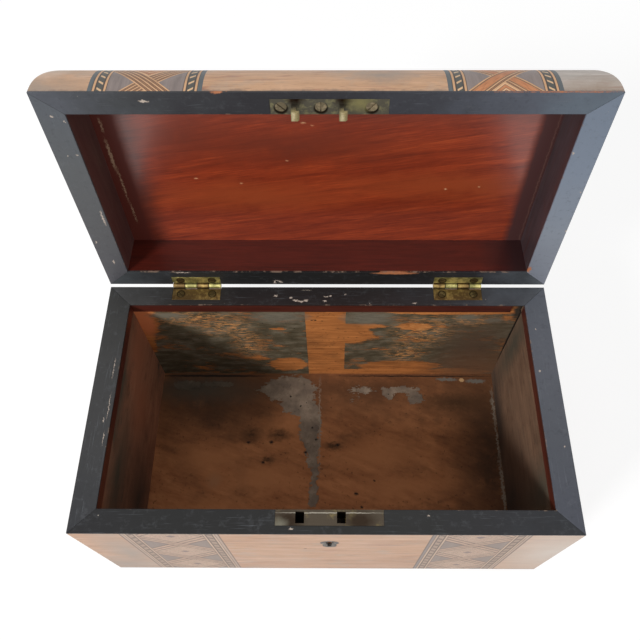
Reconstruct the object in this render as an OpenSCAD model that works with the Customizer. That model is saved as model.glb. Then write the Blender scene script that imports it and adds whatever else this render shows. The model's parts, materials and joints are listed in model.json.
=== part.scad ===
// Inlaid jewellery box, drawn with its lid open.
// Origin at the middle of the underside, X to the right, Y to the back, Z up.

/* [Box] */
// Width of the box, left to right
box_w = 300; // [290:1:330]
// Depth of the box, front to back
box_d = 165; // [150:1:190]
// Height of the case, from its underside to its rim
case_h = 122; // [105:1:150]
// Height of the lid above its rim
lid_h = 40; // [40:0.5:46]
// Radius of the rounded upper edges along the front and back of the lid
lid_round = 34; // [28:0.5:36]
// Radius of the rounded upper edges at the ends of the lid
end_round = 38; // [30:0.5:38]
// Angle at which the open lid rests on the stops of its hinges
open_angle = 95; // [90:1:100]

/* [Boards] */
// Thickness of the front and back boards of the case and of the front and back rails of the lid
wall_t = 13; // [12.5:0.5:15]
// Thickness of the end boards and of the end rails
end_t = 14; // [12.5:0.5:16]
// Thickness of the veneer
veneer_t = 1; // [0.8:0.1:1.4]
// Thickness of the bottom board
bottom_t = 4.5; // [4:0.5:8]
// How far the bottom board reaches under the walls
bottom_lap = 6.5; // [4:0.5:8]
// How far each end board reaches into the front and back boards
corner_lap = 7; // [5:0.5:9]
// Depth of the hollow under the lid
lid_recess = 28; // [24:0.5:29]
// Thickness of the ebonised edging on both rims
edging_t = 1.2; // [1:0.1:1.6]
// Height of the mahogany strips round the top of the case inside
lip_h = 9; // [6:0.5:14]
// Thickness of the mahogany strips
lip_t = 2; // [1.5:0.1:3]
// Length broken off the right end of the mahogany strip at the back
lip_break = 8; // [0:0.5:20]
// Gap between the two rims when the lid is shut
rim_gap = 0.4; // [0.3:0.05:0.8]

/* [Inlay] */
// Distance of each band's centre line from the middle of the box
band_x = 91; // [80:0.5:91]
// Width of the ground between the lines of a band
ground_w = 38.6; // [34:0.2:38.6]
// Width of each light line
light_w = 1.8; // [1.2:0.1:1.8]
// Width of each rope banding
rope_w = 3.9; // [3:0.1:3.9]
// Width of each dark line at the outside of a band
dark_w = 2.2; // [1.5:0.1:2.2]
// Width of the crossing straps, measured straight across the band
strap_w = 12.6; // [8:0.2:14]
// Distance between two crossings on the case
case_pitch = 48; // [44:1:60]
// Depth of the first crossing on the case below its rim
case_cross = 32; // [26:1:40]
// Distance between two crossings on the lid, measured over its surface
lid_pitch = 42.8; // [40:0.2:50]
// Way over the lid from its front rim to the first crossing of the left band
left_cross = 8; // [4:0.5:20]
// Way from the front rim to the first crossing of the right band
right_cross = 14; // [4:0.5:20]

/* [Hinges] */
// Distance of each hinge's centre from the middle of the box
hinge_x = 90; // [75:0.5:100]
// Length of a hinge along its pin
hinge_l = 33; // [28:0.5:40]
// Width of a leaf on the case, from the back of the box inwards
leaf_w = 10; // [9:0.5:12]
// Width of a leaf on the lid, which is the narrower one
lid_leaf_w = 8; // [7.5:0.5:10]
// Thickness of a leaf
leaf_t = 1.4; // [1.2:0.1:1.8]
// Diameter of the knuckles
knuckle_d = 4.2; // [3.8:0.1:5]
// Diameter of the hinge pin
pin_d = 1.8; // [1.4:0.1:2]
// How far the pin lies behind the back of the box
pin_back = 1.25; // [1:0.05:1.6]
// Distance between the two screws of a leaf
screw_pitch = 21.6; // [16:0.2:24]

/* [Lock] */
// Place of the lock, to the right of the middle
lock_x = 2.3; // [0:0.1:4]
// Length of the lock plate
lock_w = 63.5; // [60:0.5:70]
// Length of the link plate
link_w = 61; // [58:0.5:64]
// Width of the lock's top flange
flange_d = 9.2; // [9:0.1:9.8]
// Thickness of the top flange and of the link plate
flange_t = 1.5; // [1.2:0.1:2]
// Thickness of the upright lock plate
plate_t = 1.2; // [1:0.1:1.5]
// Height of the lock plate
plate_h = 37; // [36:0.5:42]
// Length of the case of the lock
lock_case_w = 46; // [45:0.5:48]
// Thickness of the sheet of the lock case
lock_sheet = 1; // [0.8:0.1:1.2]
// Place of the left link hole from the middle of the lock
left_link = -17.4; // [-18:0.1:-16]
// Place of the right link hole from the middle of the lock
right_link = 7; // [6:0.1:8]
// Width of a link hole, along the rim
link_hole_w = 5.2; // [5:0.1:5.6]
// Depth of a link hole, front to back
hole_d = 6.6; // [6.2:0.1:6.6]
// Reach of the hooks below the rim of the lid
hook_drop = 7.4; // [7:0.2:8.4]
// Width of a hook across its nose
hook_w = 4.2; // [3.8:0.1:4.4]
// Thickness of a hook, front to back
hook_t = 5.4; // [5:0.1:5.6]
// Travel of the bolt
bolt_travel = 4.5; // [4:0.1:5]
// Depth of the key pin below the rim
key_depth = 26; // [25:0.5:28]

/* [Fastenings] */
// Diameter of the head of a hinge screw
screw_head = 4.4; // [4:0.1:4.6]
// Diameter of the heads on the link plate
link_screw_head = 6; // [5:0.1:6.4]
// Length of the hinge screws
screw_l = 9; // [7:0.5:10]
// Diameter of the iron brads
brad_d = 1.6; // [1.2:0.1:2]
// Length of the iron brads
brad_l = 17; // [14:0.5:20]

/* [Hidden] */
$fn = 96;
// Clearances: running, between fitted pieces, and beside a turning knuckle
run = 0.05;
fit = 0.1;
room = 0.3;
end_gap = 0.16;
glue = 0.06;
slot_w = 0.6;
eps = 0.01;
// How far a cut runs past the face that it leaves
over = 1;
// Share of a screw's head that its shank measures
shank_share = 0.44;
wall = wall_t + veneer_t;
end_wall = end_t + veneer_t;
half_w = box_w / 2;
half_d = box_d / 2;
// Faces of the boards under the veneer, and the inner faces of the case
core_x = half_w - veneer_t;
core_y = half_d - veneer_t;
in_x = half_w - end_wall;
in_y = half_d - wall;
core_top = case_h - edging_t;
tongue = wall_t - corner_lap;
// Brads, as shares of the inner length, the inner depth and the height
long_brads = [-0.8, -0.3, 0.3, 0.8];
end_brads = [-0.5, 0.5];
corner_brads = [0.2, 0.5, 0.8];
lip_z = core_top - lip_h;
// The pin of the hinges
axis_y = half_d + pin_back;
axis_z = case_h + rim_gap / 2;
knuckle_r = knuckle_d / 2;
knuckle_w = hinge_l / 4;
// How far a leaf is cut back in front of the knuckles of the other one
leaf_back = 1;
// Lid, measured up from its own rim
lid_flat = lid_h - lid_round;
arc_l = lid_round * PI / 2;
lid_run = 2 * lid_flat + 2 * arc_l + box_d - 2 * lid_round;
half_arc = lid_flat + arc_l / 2;
// Inlay: half widths of the strips of a band, from its centre line out
ground_r = ground_w / 2;
inner_light = ground_r + light_w;
rope_r = inner_light + rope_w;
outer_light = rope_r + light_w;
band_r = outer_light + dark_w;
case_crossings = ceil((case_h - case_cross) / case_pitch);
lid_crossings = ceil(lid_run / lid_pitch);
strap_steps = 12;
// Lock, measured from its own middle, outwards from the inner face and down from the rim
cavity_front = plate_t + hole_d;
mortise_d = cavity_front + lock_sheet;
lock_case_up = 3;
lock_case_h = plate_h - lock_case_up;
hook_shank = 2.4;
nose_h = 1.8;
hook_mid = plate_t + hole_d / 2;
tooth_gap = 0.3;
slide_gap = 0.3;
bolt_back = plate_t + slide_gap;
tooth_low = nose_h - hook_drop + rim_gap + tooth_gap;
tooth_h = 1.7;
tooth_l = 2;
finger_w = 3;
bolt_over_pin = 2;
bolt_low = key_depth - bolt_over_pin;
bolt_bar_h = 7;
bolt_t = 4;
bolt_left = -14.5;
bolt_right = 18.5;
stud_d = 2.4;
stud_z = bolt_low - bolt_bar_h / 2;
stud_x = [-10.5, 9.5];
talon_w = 6;
talon_h = 3.2;
key_pin_d = 2.4;
keyhole_r = 2.8;
keyhole_slot = 2.6;
keyhole_drop = 9.4;
escutcheon_rim = 3;
escutcheon_t = 2;
lock_screw_z = [9, 28];
link_screw_x = [-25, -4.5, 21.6];
// Turns of the screw slots: left and right on a hinge leaf, and along the link plate
left_slot = -40;
right_slot = 25;
link_slots = [45, 90, -50];
link_extra = 0.6;
link_d = flange_d + link_extra;
// Spring of the bolt
spring_x = 1.2;
spring_r = 26;
spring_t = 0.5;
spring_reach = 8;
spring_gap = 0.15;
spring_low = bolt_bar_h - bolt_low + spring_gap;
spring_crown = spring_low + spring_r - sqrt(pow(spring_r, 2) - pow(spring_reach, 2));
spring_foot = 2.4;

// Iron brads: up through the bottom board, and through the corners of the walls.
module brad_places() {
  for (side = [-1, 1]) {
    for (share = long_brads)
      translate([share * in_x, side * (in_y + bottom_lap / 2), 0]) children();
    for (share = end_brads)
      translate([side * (in_x + bottom_lap / 2), share * in_y, 0]) children();
    for (end = [-1, 1], share = corner_brads)
      translate([end * (in_x + end_t / 2), side * core_y, share * core_top])
        rotate([side * 90, 0, 0]) children();
  }
}

module brads(gap) {
  brad_places() cylinder(d = brad_d + 2 * gap, h = brad_l + gap);
}

// A slotted countersunk screw with the top of its head at zero, pointing down.
module wood_screw(head, length, gap = 0) {
  shank = head * shank_share;
  cone_h = (head - shank) / 2;
  difference() {
    union() {
      translate([0, 0, -cone_h - gap]) cylinder(d1 = shank + 2 * gap, d2 = head + 2 * gap, h = cone_h + gap);
      translate([0, 0, -length - gap]) cylinder(d = shank + 2 * gap, h = length - cone_h + gap);
    }
    if (gap == 0)
      translate([-head, -slot_w / 2, -slot_w]) cube([2 * head, slot_w, 2 * slot_w]);
  }
}

// Plans of a long board and of an end board, which lies in the laps of the long ones.
module long_plan() {
  difference() {
    translate([-core_x, in_y]) square([2 * core_x, wall_t]);
    for (side = [-1, 1])
      translate([side * (in_x + end_t / 2) - end_t / 2 - (side < 0 ? eps : 0), in_y - eps])
        square([end_t + eps, corner_lap + eps]);
  }
}

module end_plan() {
  translate([in_x, tongue - core_y]) square([end_t, 2 * (core_y - tongue)]);
}

// One mitred side of a rim: 0 back, 1 left, 2 front, 3 right.
module rim_plan(side) {
  long = side % 2 == 0;
  reach = long ? half_w : half_d;
  depth = long ? half_d : half_w;
  far = long ? in_x : in_y;
  near = long ? in_y : in_x;
  rotate(side * 90) polygon([[-reach, depth], [reach, depth], [far, near], [-far, near]]);
}

// Places shared by the case and the lid.
module at_hinges() {
  for (side = [-1, 1]) translate([side * hinge_x, 0, 0]) children();
}

function leaf_depth(up) = up > 0 ? lid_leaf_w : leaf_w;

// The screws of a leaf stand midway between its edge and the knuckles.
module at_leaf_screws(up) {
  for (side = [-1, 1])
    translate([side * screw_pitch / 2, (half_d - leaf_depth(up) + axis_y - knuckle_r) / 2, 0])
      rotate(side < 0 ? left_slot : right_slot) children();
}

module at_lock() {
  translate([lock_x, -in_y, case_h]) children();
}

// The lid's own frame has its rim at zero and is swung open about the pin.
module on_lid() {
  translate([0, axis_y, axis_z]) rotate([-open_angle, 0, 0]) translate([0, -axis_y, rim_gap / 2]) children();
}

// What a hinge takes out of the wood: the bed of one leaf, its screws and the way of the knuckles.
module hinge_bed(pin_z, up) {
  translate([-hinge_l / 2 - fit, half_d - leaf_depth(up) - fit, up > 0 ? -eps : -leaf_t])
    cube([hinge_l + 2 * fit, leaf_depth(up) + fit + eps, leaf_t + eps]);
  translate([-hinge_l / 2 - room, axis_y, pin_z]) rotate([0, 90, 0])
    cylinder(r = knuckle_r + room, h = hinge_l + 2 * room);
  at_leaf_screws(up) mirror([0, 0, up > 0 ? 1 : 0]) wood_screw(screw_head, screw_l, run);
}

module case_hinge_beds() {
  at_hinges() translate([0, 0, case_h]) hinge_bed(rim_gap / 2, -1);
}

module lid_hinge_beds() {
  at_hinges() hinge_bed(-rim_gap / 2, 1);
}

// One leaf with its knuckles, bored for the pin, and cut back beside the knuckles of the other leaf.
module hinge_leaf(own, other, pin_z, up) {
  difference() {
    union() {
      translate([-hinge_l / 2, half_d - leaf_depth(up), up > 0 ? 0 : -leaf_t])
        cube([hinge_l, axis_y - half_d + leaf_depth(up), leaf_t]);
      for (place = own)
        translate([place * knuckle_w - hinge_l / 2 + end_gap / 2, axis_y, pin_z]) rotate([0, 90, 0])
          cylinder(r = knuckle_r, h = knuckle_w - end_gap);
    }
    for (place = other)
      translate([place * knuckle_w - hinge_l / 2 - end_gap / 2, axis_y - knuckle_r - leaf_back, -knuckle_d])
        cube([knuckle_w + end_gap, knuckle_d, 2 * knuckle_d]);
    translate([-hinge_l, axis_y, pin_z]) rotate([0, 90, 0]) cylinder(d = pin_d + 2 * run, h = 2 * hinge_l);
    at_leaf_screws(up) mirror([0, 0, up > 0 ? 1 : 0]) wood_screw(screw_head, screw_l, run / 2);
  }
}

module hinge_pin(side) {
  color("#9a8347") translate([side * hinge_x - hinge_l / 2, axis_y, axis_z]) rotate([0, 90, 0])
    cylinder(d = pin_d, h = hinge_l);
}

module case_leaf(side) {
  color("#a8904c") translate([side * hinge_x, 0, case_h]) hinge_leaf([0, 2], [1, 3], rim_gap / 2, -1);
}

module lid_leaf(side) {
  color("#a8904c") on_lid() translate([side * hinge_x, 0, 0]) hinge_leaf([1, 3], [0, 2], -rim_gap / 2, 1);
}

// Keyhole outline round the key pin: a round head and a slot below it.
module keyhole_outline(grow) {
  circle(r = keyhole_r + grow);
  translate([-keyhole_slot / 2 - grow, -keyhole_drop]) square([keyhole_slot + 2 * grow, keyhole_drop]);
  translate([0, -keyhole_drop]) circle(r = keyhole_slot / 2 + grow);
}

// A prism through the front wall from one depth to another, measured outwards from the inner face.
module through_front(from, to) {
  translate([0, -from, 0]) rotate([90, 0, 0]) linear_extrude(to - from) children();
}

// The room that the lock takes out of the front wall, its edging and its mahogany strip.
module lock_mortise() {
  at_lock() {
    translate([-lock_w / 2 - fit, -plate_t, -plate_h - fit])
      cube([lock_w + 2 * fit, plate_t + eps, plate_h + over]);
    translate([-lock_w / 2 - fit, -flange_d - fit, -flange_t])
      cube([lock_w + 2 * fit, flange_d + over, flange_t + over]);
    translate([-lock_case_w / 2 - fit, -mortise_d, -lock_case_h - fit])
      cube([lock_case_w + 2 * fit, mortise_d + eps, lock_case_h + over]);
    lock_screw_places() wood_screw(screw_head, screw_l, run);
    translate([0, 0, -key_depth]) through_front(mortise_d - eps, wall + eps) keyhole_outline(0);
  }
}

module escutcheon_body(grow) {
  at_lock() translate([0, 0, -key_depth])
    through_front(wall - escutcheon_t, wall + grow) keyhole_outline(escutcheon_rim);
}

module lock_screw_places() {
  for (side = [-1, 1], depth = lock_screw_z)
    translate([side * (lock_w + lock_case_w) / 4, 0, -depth]) rotate([-90, 0, 0]) children();
}

module link_holes() {
  for (place = [left_link, right_link])
    translate([place - link_hole_w / 2, -cavity_front, -flange_t - eps])
      cube([link_hole_w, hole_d, flange_t + over]);
}

// Case boards
module case_board(front) {
  color("#b8804c") difference() {
    mirror([0, front ? 1 : 0, 0]) linear_extrude(core_top) long_plan();
    inner_board_cuts();
    if (front) {
      lock_mortise();
      escutcheon_body(eps);
    } else
      case_hinge_beds();
  }
}

module inner_board_cuts() {
  lip_rebate();
  bottom_rebate();
  brads(run);
}

module lip_rebate() {
  translate([-in_x, -in_y - lip_t, lip_z]) cube([2 * in_x, 2 * (in_y + lip_t), lip_h + over]);
  translate([-in_x - lip_t, -in_y, lip_z]) cube([2 * (in_x + lip_t), 2 * in_y, lip_h + over]);
}

module bottom_rebate() {
  translate([-in_x - bottom_lap, -in_y - bottom_lap, -over])
    cube([2 * (in_x + bottom_lap), 2 * (in_y + bottom_lap), bottom_t + over]);
}

module front_board() { case_board(true); }

module back_board() { case_board(false); }

module end_board(side) {
  color("#b07945") difference() {
    mirror([side < 0 ? 1 : 0, 0, 0]) linear_extrude(core_top) end_plan();
    inner_board_cuts();
  }
}

module left_board() { end_board(-1); }

module right_board() { end_board(1); }

module bottom_board() {
  color("#96673c") difference() {
    translate([-in_x - bottom_lap, -in_y - bottom_lap, 0])
      cube([2 * (in_x + bottom_lap), 2 * (in_y + bottom_lap), bottom_t]);
    brads(run);
  }
}

module case_brads() {
  color("#4a4640") brads(0);
}

// Case veneers
module front_veneer() {
  color("#c9a27c") difference() {
    translate([-half_w, -half_d, 0]) cube([box_w, veneer_t, core_top]);
    for (side = [-1, 1])
      translate([side * band_x - band_r, -half_d - over, -over]) cube([2 * band_r, wall, case_h]);
    escutcheon_body(eps);
  }
}

module back_veneer() {
  color("#c9a27c") difference() {
    translate([-half_w, core_y, 0]) cube([box_w, veneer_t, core_top]);
    case_hinge_beds();
  }
}

module end_veneer(side) {
  color("#c29a74") translate([side * (half_w - veneer_t / 2) - veneer_t / 2, -core_y, 0])
    cube([veneer_t, 2 * core_y, core_top]);
}

module left_veneer() { end_veneer(-1); }

module right_veneer() { end_veneer(1); }

// Upright strips of the bands on the case, from one distance to another off each centre line.
module case_strips(from, to) {
  for (band = [-1, 1], side = [-1, 1])
    translate([band * band_x + (side > 0 ? from : -to), -half_d, 0]) cube([to - from, veneer_t, core_top]);
}

// The diagonal straps of one band on the case, drawn flat, rising to the right for lean 1.
module case_strap_plan(lean, width) {
  intersection() {
    translate([-ground_r, 0]) square([ground_w, core_top]);
    for (count = [-1:case_crossings]) {
      level = case_h - case_cross - count * case_pitch;
      polygon([for (corner = [[-1, -1], [-1, 1], [1, 1], [1, -1]])
        [corner[0] * ground_r, level + lean * corner[0] * ground_r + corner[1] * width / 2]]);
    }
  }
}

// Both bands of the case mirror each other.
module on_case_front() {
  for (side = [0, 1])
    mirror([side, 0, 0]) translate([-band_x, -core_y, 0]) rotate([90, 0, 0])
      linear_extrude(veneer_t) children();
}

module case_band_straps() {
  color("#c08a58") {
    on_case_front() case_strap_plan(-1, strap_w);
    on_case_front() difference() {
      case_strap_plan(1, strap_w);
      case_strap_plan(-1, strap_w + 2 * glue);
    }
  }
}

module case_band_ground() {
  color("#8d837c") on_case_front() difference() {
    translate([-ground_r, 0]) square([ground_w, core_top]);
    case_strap_plan(-1, strap_w + 2 * glue);
    case_strap_plan(1, strap_w + 2 * glue);
  }
}

module case_light_stringing() {
  color("#d8c19a") {
    case_strips(ground_r, inner_light);
    case_strips(rope_r, outer_light);
  }
}

module case_rope_banding() {
  color("#5b5248") case_strips(inner_light, rope_r);
}

module case_dark_stringing() {
  color("#4c4b46") case_strips(outer_light, band_r);
}

// Ebonised edging of the case
module case_edging(side) {
  color("#33363a") difference() {
    translate([0, 0, core_top]) linear_extrude(edging_t) rim_plan(side);
    case_hinge_beds();
    lock_mortise();
  }
}

module case_back_edging() { case_edging(0); }

module case_left_edging() { case_edging(1); }

module case_front_edging() { case_edging(2); }

module case_right_edging() { case_edging(3); }

// Mahogany strips let in flush round the top of the case inside
module long_lip(side) {
  color("#6b2a1c") difference() {
    translate([-in_x, side > 0 ? in_y : -in_y - lip_t, lip_z])
      cube([2 * in_x - (side > 0 ? lip_break : 0), lip_t, lip_h]);
    lock_mortise();
  }
}

module end_lip(side) {
  color("#6b2a1c") translate([side > 0 ? in_x : -in_x - lip_t, -in_y, lip_z]) cube([lip_t, 2 * in_y, lip_h]);
}

module front_lip_strip() { long_lip(-1); }

module back_lip_strip() { long_lip(1); }

module left_lip_strip() { end_lip(-1); }

module right_lip_strip() { end_lip(1); }

// Box lock
module lock_plate() {
  color("#8a7b4c") at_lock() difference() {
    union() {
      translate([-lock_w / 2, -flange_d, -flange_t]) cube([lock_w, flange_d, flange_t]);
      translate([-lock_w / 2, -plate_t, -plate_h]) cube([lock_w, plate_t, plate_h]);
    }
    link_holes();
    lock_screw_places() wood_screw(screw_head, screw_l, run / 2);
  }
}

module lock_case() {
  color("#5f5a50") at_lock() difference() {
    translate([-lock_case_w / 2, -mortise_d, -lock_case_h])
      cube([lock_case_w, mortise_d - plate_t, lock_case_h - flange_t]);
    translate([lock_sheet - lock_case_w / 2, -cavity_front, lock_sheet - lock_case_h])
      cube([lock_case_w - 2 * lock_sheet, mortise_d, lock_case_h]);
    translate([0, 0, -key_depth]) through_front(cavity_front - over, mortise_d + over) keyhole_outline(0);
  }
}

module lock_studs() {
  color("#8a7b4c") at_lock() for (place = stud_x)
    translate([place, -plate_t, -stud_z]) rotate([90, 0, 0]) cylinder(d = stud_d, h = hole_d);
}

module lock_key_pin() {
  color("#6d6a64") at_lock() translate([0, -plate_t, -key_depth]) rotate([90, 0, 0])
    cylinder(d = key_pin_d, h = mortise_d - plate_t);
}

// A bowed spring, held at its crown, whose ends bear on the bolt.
module lock_spring() {
  color("#6d6a64") at_lock() {
    translate([spring_x, 0, 0]) through_front(bolt_back, bolt_back + bolt_t) intersection() {
      translate([0, spring_low - sqrt(pow(spring_r, 2) - pow(spring_reach, 2))]) difference() {
        circle(r = spring_r + spring_t, $fn = 180);
        circle(r = spring_r, $fn = 180);
      }
      translate([-spring_reach, spring_low]) square(2 * spring_reach);
    }
    translate([spring_x - spring_foot / 2, -bolt_back - bolt_t, spring_crown])
      cube([spring_foot, slide_gap + bolt_t, spring_foot]);
  }
}

module lock_screws() {
  color("#9a8a58") at_lock() lock_screw_places() wood_screw(screw_head, screw_l);
}

// The bolt stands drawn back, and slides left by its travel to catch both hooks.
module bolt_outline() {
  difference() {
    union() {
      translate([bolt_left, -bolt_low]) square([bolt_right - bolt_left, bolt_bar_h]);
      for (place = [left_link, right_link]) {
        tip = place - hook_w / 2 + hook_shank + tooth_gap + bolt_travel;
        translate([tip + tooth_l, -bolt_low]) square([finger_w, tooth_low + tooth_h + bolt_low]);
        translate([tip, tooth_low]) square([tooth_l + finger_w, tooth_h]);
      }
    }
    for (place = stud_x)
      translate([place, -stud_z]) {
        circle(d = stud_d + 2 * run);
        translate([bolt_travel, 0]) circle(d = stud_d + 2 * run);
        translate([0, -stud_d / 2 - run]) square([bolt_travel, stud_d + 2 * run]);
      }
    translate([bolt_travel / 2 - talon_w / 2, -bolt_low - over]) square([talon_w, talon_h + over]);
  }
}

module lock_bolt() {
  color("#77705f") at_lock() through_front(bolt_back, bolt_back + bolt_t) bolt_outline();
}

module keyhole_escutcheon() {
  color("#77746a") difference() {
    escutcheon_body(0);
    at_lock() translate([0, 0, -key_depth]) through_front(0, 2 * wall) keyhole_outline(0);
  }
}

// Hinges
module left_hinge_case_leaf() { case_leaf(-1); }

module right_hinge_case_leaf() { case_leaf(1); }

module left_hinge_lid_leaf() { lid_leaf(-1); }

module right_hinge_lid_leaf() { lid_leaf(1); }

module left_hinge_pin() { hinge_pin(-1); }

module right_hinge_pin() { hinge_pin(1); }

module case_hinge_screws() {
  color("#b59c5a") at_hinges() translate([0, 0, case_h]) at_leaf_screws(-1) wood_screw(screw_head, screw_l);
}

module lid_hinge_screws() {
  color("#b59c5a") on_lid() at_hinges() at_leaf_screws(1) mirror([0, 0, 1]) wood_screw(screw_head, screw_l);
}

// Section of the lid over one span with its own rounding, with the faces drawn in by the inset.
module lid_section(span, radius, inset) {
  side = span / 2 - inset;
  intersection() {
    translate([-side, 0]) square([2 * side, lid_h - inset]);
    union() {
      translate([-side, 0]) square([2 * side, lid_h - radius]);
      translate([radius - span / 2, 0]) square([span - 2 * radius, lid_h]);
      for (end = [-1, 1])
        translate([end * (span / 2 - radius), lid_h - radius]) circle(r = radius - inset, $fn = 180);
    }
  }
}

// Bar of the section that runs along the box, between two places.
module lid_bar(from, to, inset) {
  translate([from, 0, 0]) rotate([90, 0, 90]) linear_extrude(to - from) lid_section(box_d, lid_round, inset);
}

// Whole lid: the long section and the cross section meet in mitred hips.
module lid_form(inset) {
  intersection() {
    lid_bar(inset - half_w, half_w - inset, inset);
    translate([0, half_d, 0]) rotate([90, 0, 0]) linear_extrude(box_d) lid_section(box_w, end_round, inset);
  }
}

module above(level) {
  translate([-half_w - over, -half_d - over, level]) cube([box_w + 2 * over, box_d + 2 * over, lid_h]);
}

module rail_height() {
  translate([0, 0, edging_t]) linear_extrude(lid_recess - edging_t) children();
}

module lid_long_rail(front) {
  color("#5f2015") on_lid() difference() {
    intersection() {
      lid_form(veneer_t);
      mirror([0, front ? 1 : 0, 0]) rail_height() long_plan();
    }
    lid_hinge_beds();
    link_bed();
  }
}

module lid_end_rail(side) {
  color("#5f2015") on_lid() intersection() {
    lid_form(veneer_t);
    mirror([side < 0 ? 1 : 0, 0, 0]) rail_height() end_plan();
  }
}

module lid_front_rail() { lid_long_rail(true); }

module lid_back_rail() { lid_long_rail(false); }

module lid_left_rail() { lid_end_rail(-1); }

module lid_right_rail() { lid_end_rail(1); }

module lid_top_board() {
  color("#7a2a18") on_lid() intersection() {
    lid_form(veneer_t);
    above(lid_recess);
  }
}

// Veneer over an end of the lid, and over the middle between the bands
module lid_end_veneer(side) {
  color("#c9a27c") on_lid() intersection() {
    difference() {
      lid_form(0);
      lid_form(veneer_t);
    }
    above(edging_t);
    mirror([side < 0 ? 1 : 0, 0, 0]) translate([band_x + band_r, -half_d, 0]) cube([half_w, box_d, lid_h]);
  }
}

module lid_left_veneer() { lid_end_veneer(-1); }

module lid_right_veneer() { lid_end_veneer(1); }

// Skin of the veneer between two places, where the section is the same all along.
module lid_skin(from, to) {
  difference() {
    intersection() {
      lid_bar(from, to, 0);
      above(edging_t);
    }
    lid_bar(from - over, to + over, veneer_t);
  }
}

module lid_centre_veneer() {
  color("#c9a27c") on_lid() difference() {
    lid_skin(band_r - band_x, band_x - band_r);
    lid_hinge_beds();
  }
}

// Strips of the bands over the lid, from one distance to another off each centre line.
module lid_strips(from, to) {
  on_lid() difference() {
    for (band = [-1, 1], side = [-1, 1]) {
      start = band * band_x + (side > 0 ? from : -to);
      lid_skin(start, start + to - from);
    }
    lid_hinge_beds();
  }
}

module lid_light_stringing() {
  color("#d8c19a") {
    lid_strips(ground_r, inner_light);
    lid_strips(rope_r, outer_light);
  }
}

module lid_rope_banding() {
  color("#5b5248") lid_strips(inner_light, rope_r);
}

module lid_dark_stringing() {
  color("#4c4b46") lid_strips(outer_light, band_r);
}

// A way over the lid runs up the front, over the top and down the back.
function half_way_y(way) = way < lid_flat ? -half_d
  : way < lid_flat + arc_l ? lid_round - half_d - lid_round * cos((way - lid_flat) / arc_l * 90)
  : way - lid_flat - arc_l + lid_round - half_d;
function half_way_z(way) = way < lid_flat ? way
  : way < lid_flat + arc_l ? lid_flat + lid_round * sin((way - lid_flat) / arc_l * 90) : lid_h;
function way_y(way) = way < lid_run / 2 ? half_way_y(way) : -half_way_y(lid_run - way);
function way_z(way) = way < lid_run / 2 ? half_way_z(way) : half_way_z(lid_run - way);

// Outline of one strap between two ways, seen from above or from the front.
function strap_edge(cross, lean, offset, from, to, top) = [for (step = [0:strap_steps])
  let (way = from + (to - from) * step / strap_steps)
  [lean * (way - cross) + offset, top ? way_y(way) : way_z(way)]];
function turned(list) = [for (count = [len(list) - 1:-1:0]) list[count]];
function strap_outline(cross, lean, width, from, to, top) = concat(
  strap_edge(cross, lean, -width / 2, from, to, top),
  turned(strap_edge(cross, lean, width / 2, from, to, top)));

// Straps of one band over the lid, cut square to the top and square to the front and back.
module lid_strap_prisms(lean, width) {
  reach = ground_r + width / 2;
  depth = lid_round * (1 - cos(45)) + veneer_t;
  for (count = [-1:lid_crossings]) {
    cross = $first + count * lid_pitch;
    low = cross - reach;
    high = cross + reach;
    if (min(high, lid_run - half_arc) - max(low, half_arc) > over)
      linear_extrude(lid_h + over)
        polygon(strap_outline(cross, lean, width, max(low, half_arc), min(high, lid_run - half_arc), true));
    if (min(high, half_arc) - max(low, 0) > over)
      translate([0, depth - half_d, 0]) rotate([90, 0, 0]) linear_extrude(depth + over)
        polygon(strap_outline(cross, lean, width, max(low, 0), min(high, half_arc), false));
    if (min(high, lid_run) - max(low, lid_run - half_arc) > over)
      translate([0, half_d + over, 0]) rotate([90, 0, 0]) linear_extrude(depth + over)
        polygon(strap_outline(cross, lean, width, max(low, lid_run - half_arc), min(high, lid_run), false));
  }
}

// The bands of the lid lean opposite ways, and each starts at its own first crossing.
module on_lid_bands() {
  on_lid() difference() {
    for (side = [0, 1]) {
      $first = side == 0 ? left_cross : right_cross;
      mirror([side, 0, 0]) translate([-band_x, 0, 0]) children();
    }
    lid_hinge_beds();
  }
}

module lid_band_straps() {
  color("#c08a58") {
    on_lid_bands() intersection() {
      lid_skin(-ground_r, ground_r);
      lid_strap_prisms(-1, strap_w);
    }
    on_lid_bands() difference() {
      intersection() {
        lid_skin(-ground_r, ground_r);
        lid_strap_prisms(1, strap_w);
      }
      lid_strap_prisms(-1, strap_w + 2 * glue);
    }
  }
}

module lid_band_ground() {
  color("#8d837c") on_lid_bands() difference() {
    lid_skin(-ground_r, ground_r);
    lid_strap_prisms(1, strap_w + 2 * glue);
    lid_strap_prisms(-1, strap_w + 2 * glue);
  }
}

// Ebonised edging of the lid
module lid_edging(side) {
  color("#33363a") on_lid() difference() {
    linear_extrude(edging_t) rim_plan(side);
    lid_hinge_beds();
    link_bed();
  }
}

module lid_back_edging() { lid_edging(0); }

module lid_left_edging() { lid_edging(1); }

module lid_front_edging() { lid_edging(2); }

module lid_right_edging() { lid_edging(3); }

// Link plate with its two hooks
module link_bed() {
  translate([lock_x - link_w / 2 - fit, -in_y - link_d - fit, -eps])
    cube([link_w + 2 * fit, link_d + over, flange_t + eps]);
  translate([lock_x, 0, 0]) link_screw_places() wood_screw(link_screw_head, screw_l, run);
}

module link_screw_places() {
  for (at = [0:len(link_slots) - 1])
    translate([link_screw_x[at], -in_y - link_d / 2, 0]) rotate(link_slots[at]) mirror([0, 0, 1]) children();
}

module hook_outline() {
  polygon([[-hook_w / 2, flange_t / 2], [hook_shank - hook_w / 2, flange_t / 2],
    [hook_shank - hook_w / 2, nose_h - hook_drop], [hook_w / 2, nose_h - hook_drop],
    [hook_w / 2, nose_h / 2 - hook_drop], [hook_w / 2 - nose_h / 2, -hook_drop], [-hook_w / 2, -hook_drop]]);
}

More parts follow.
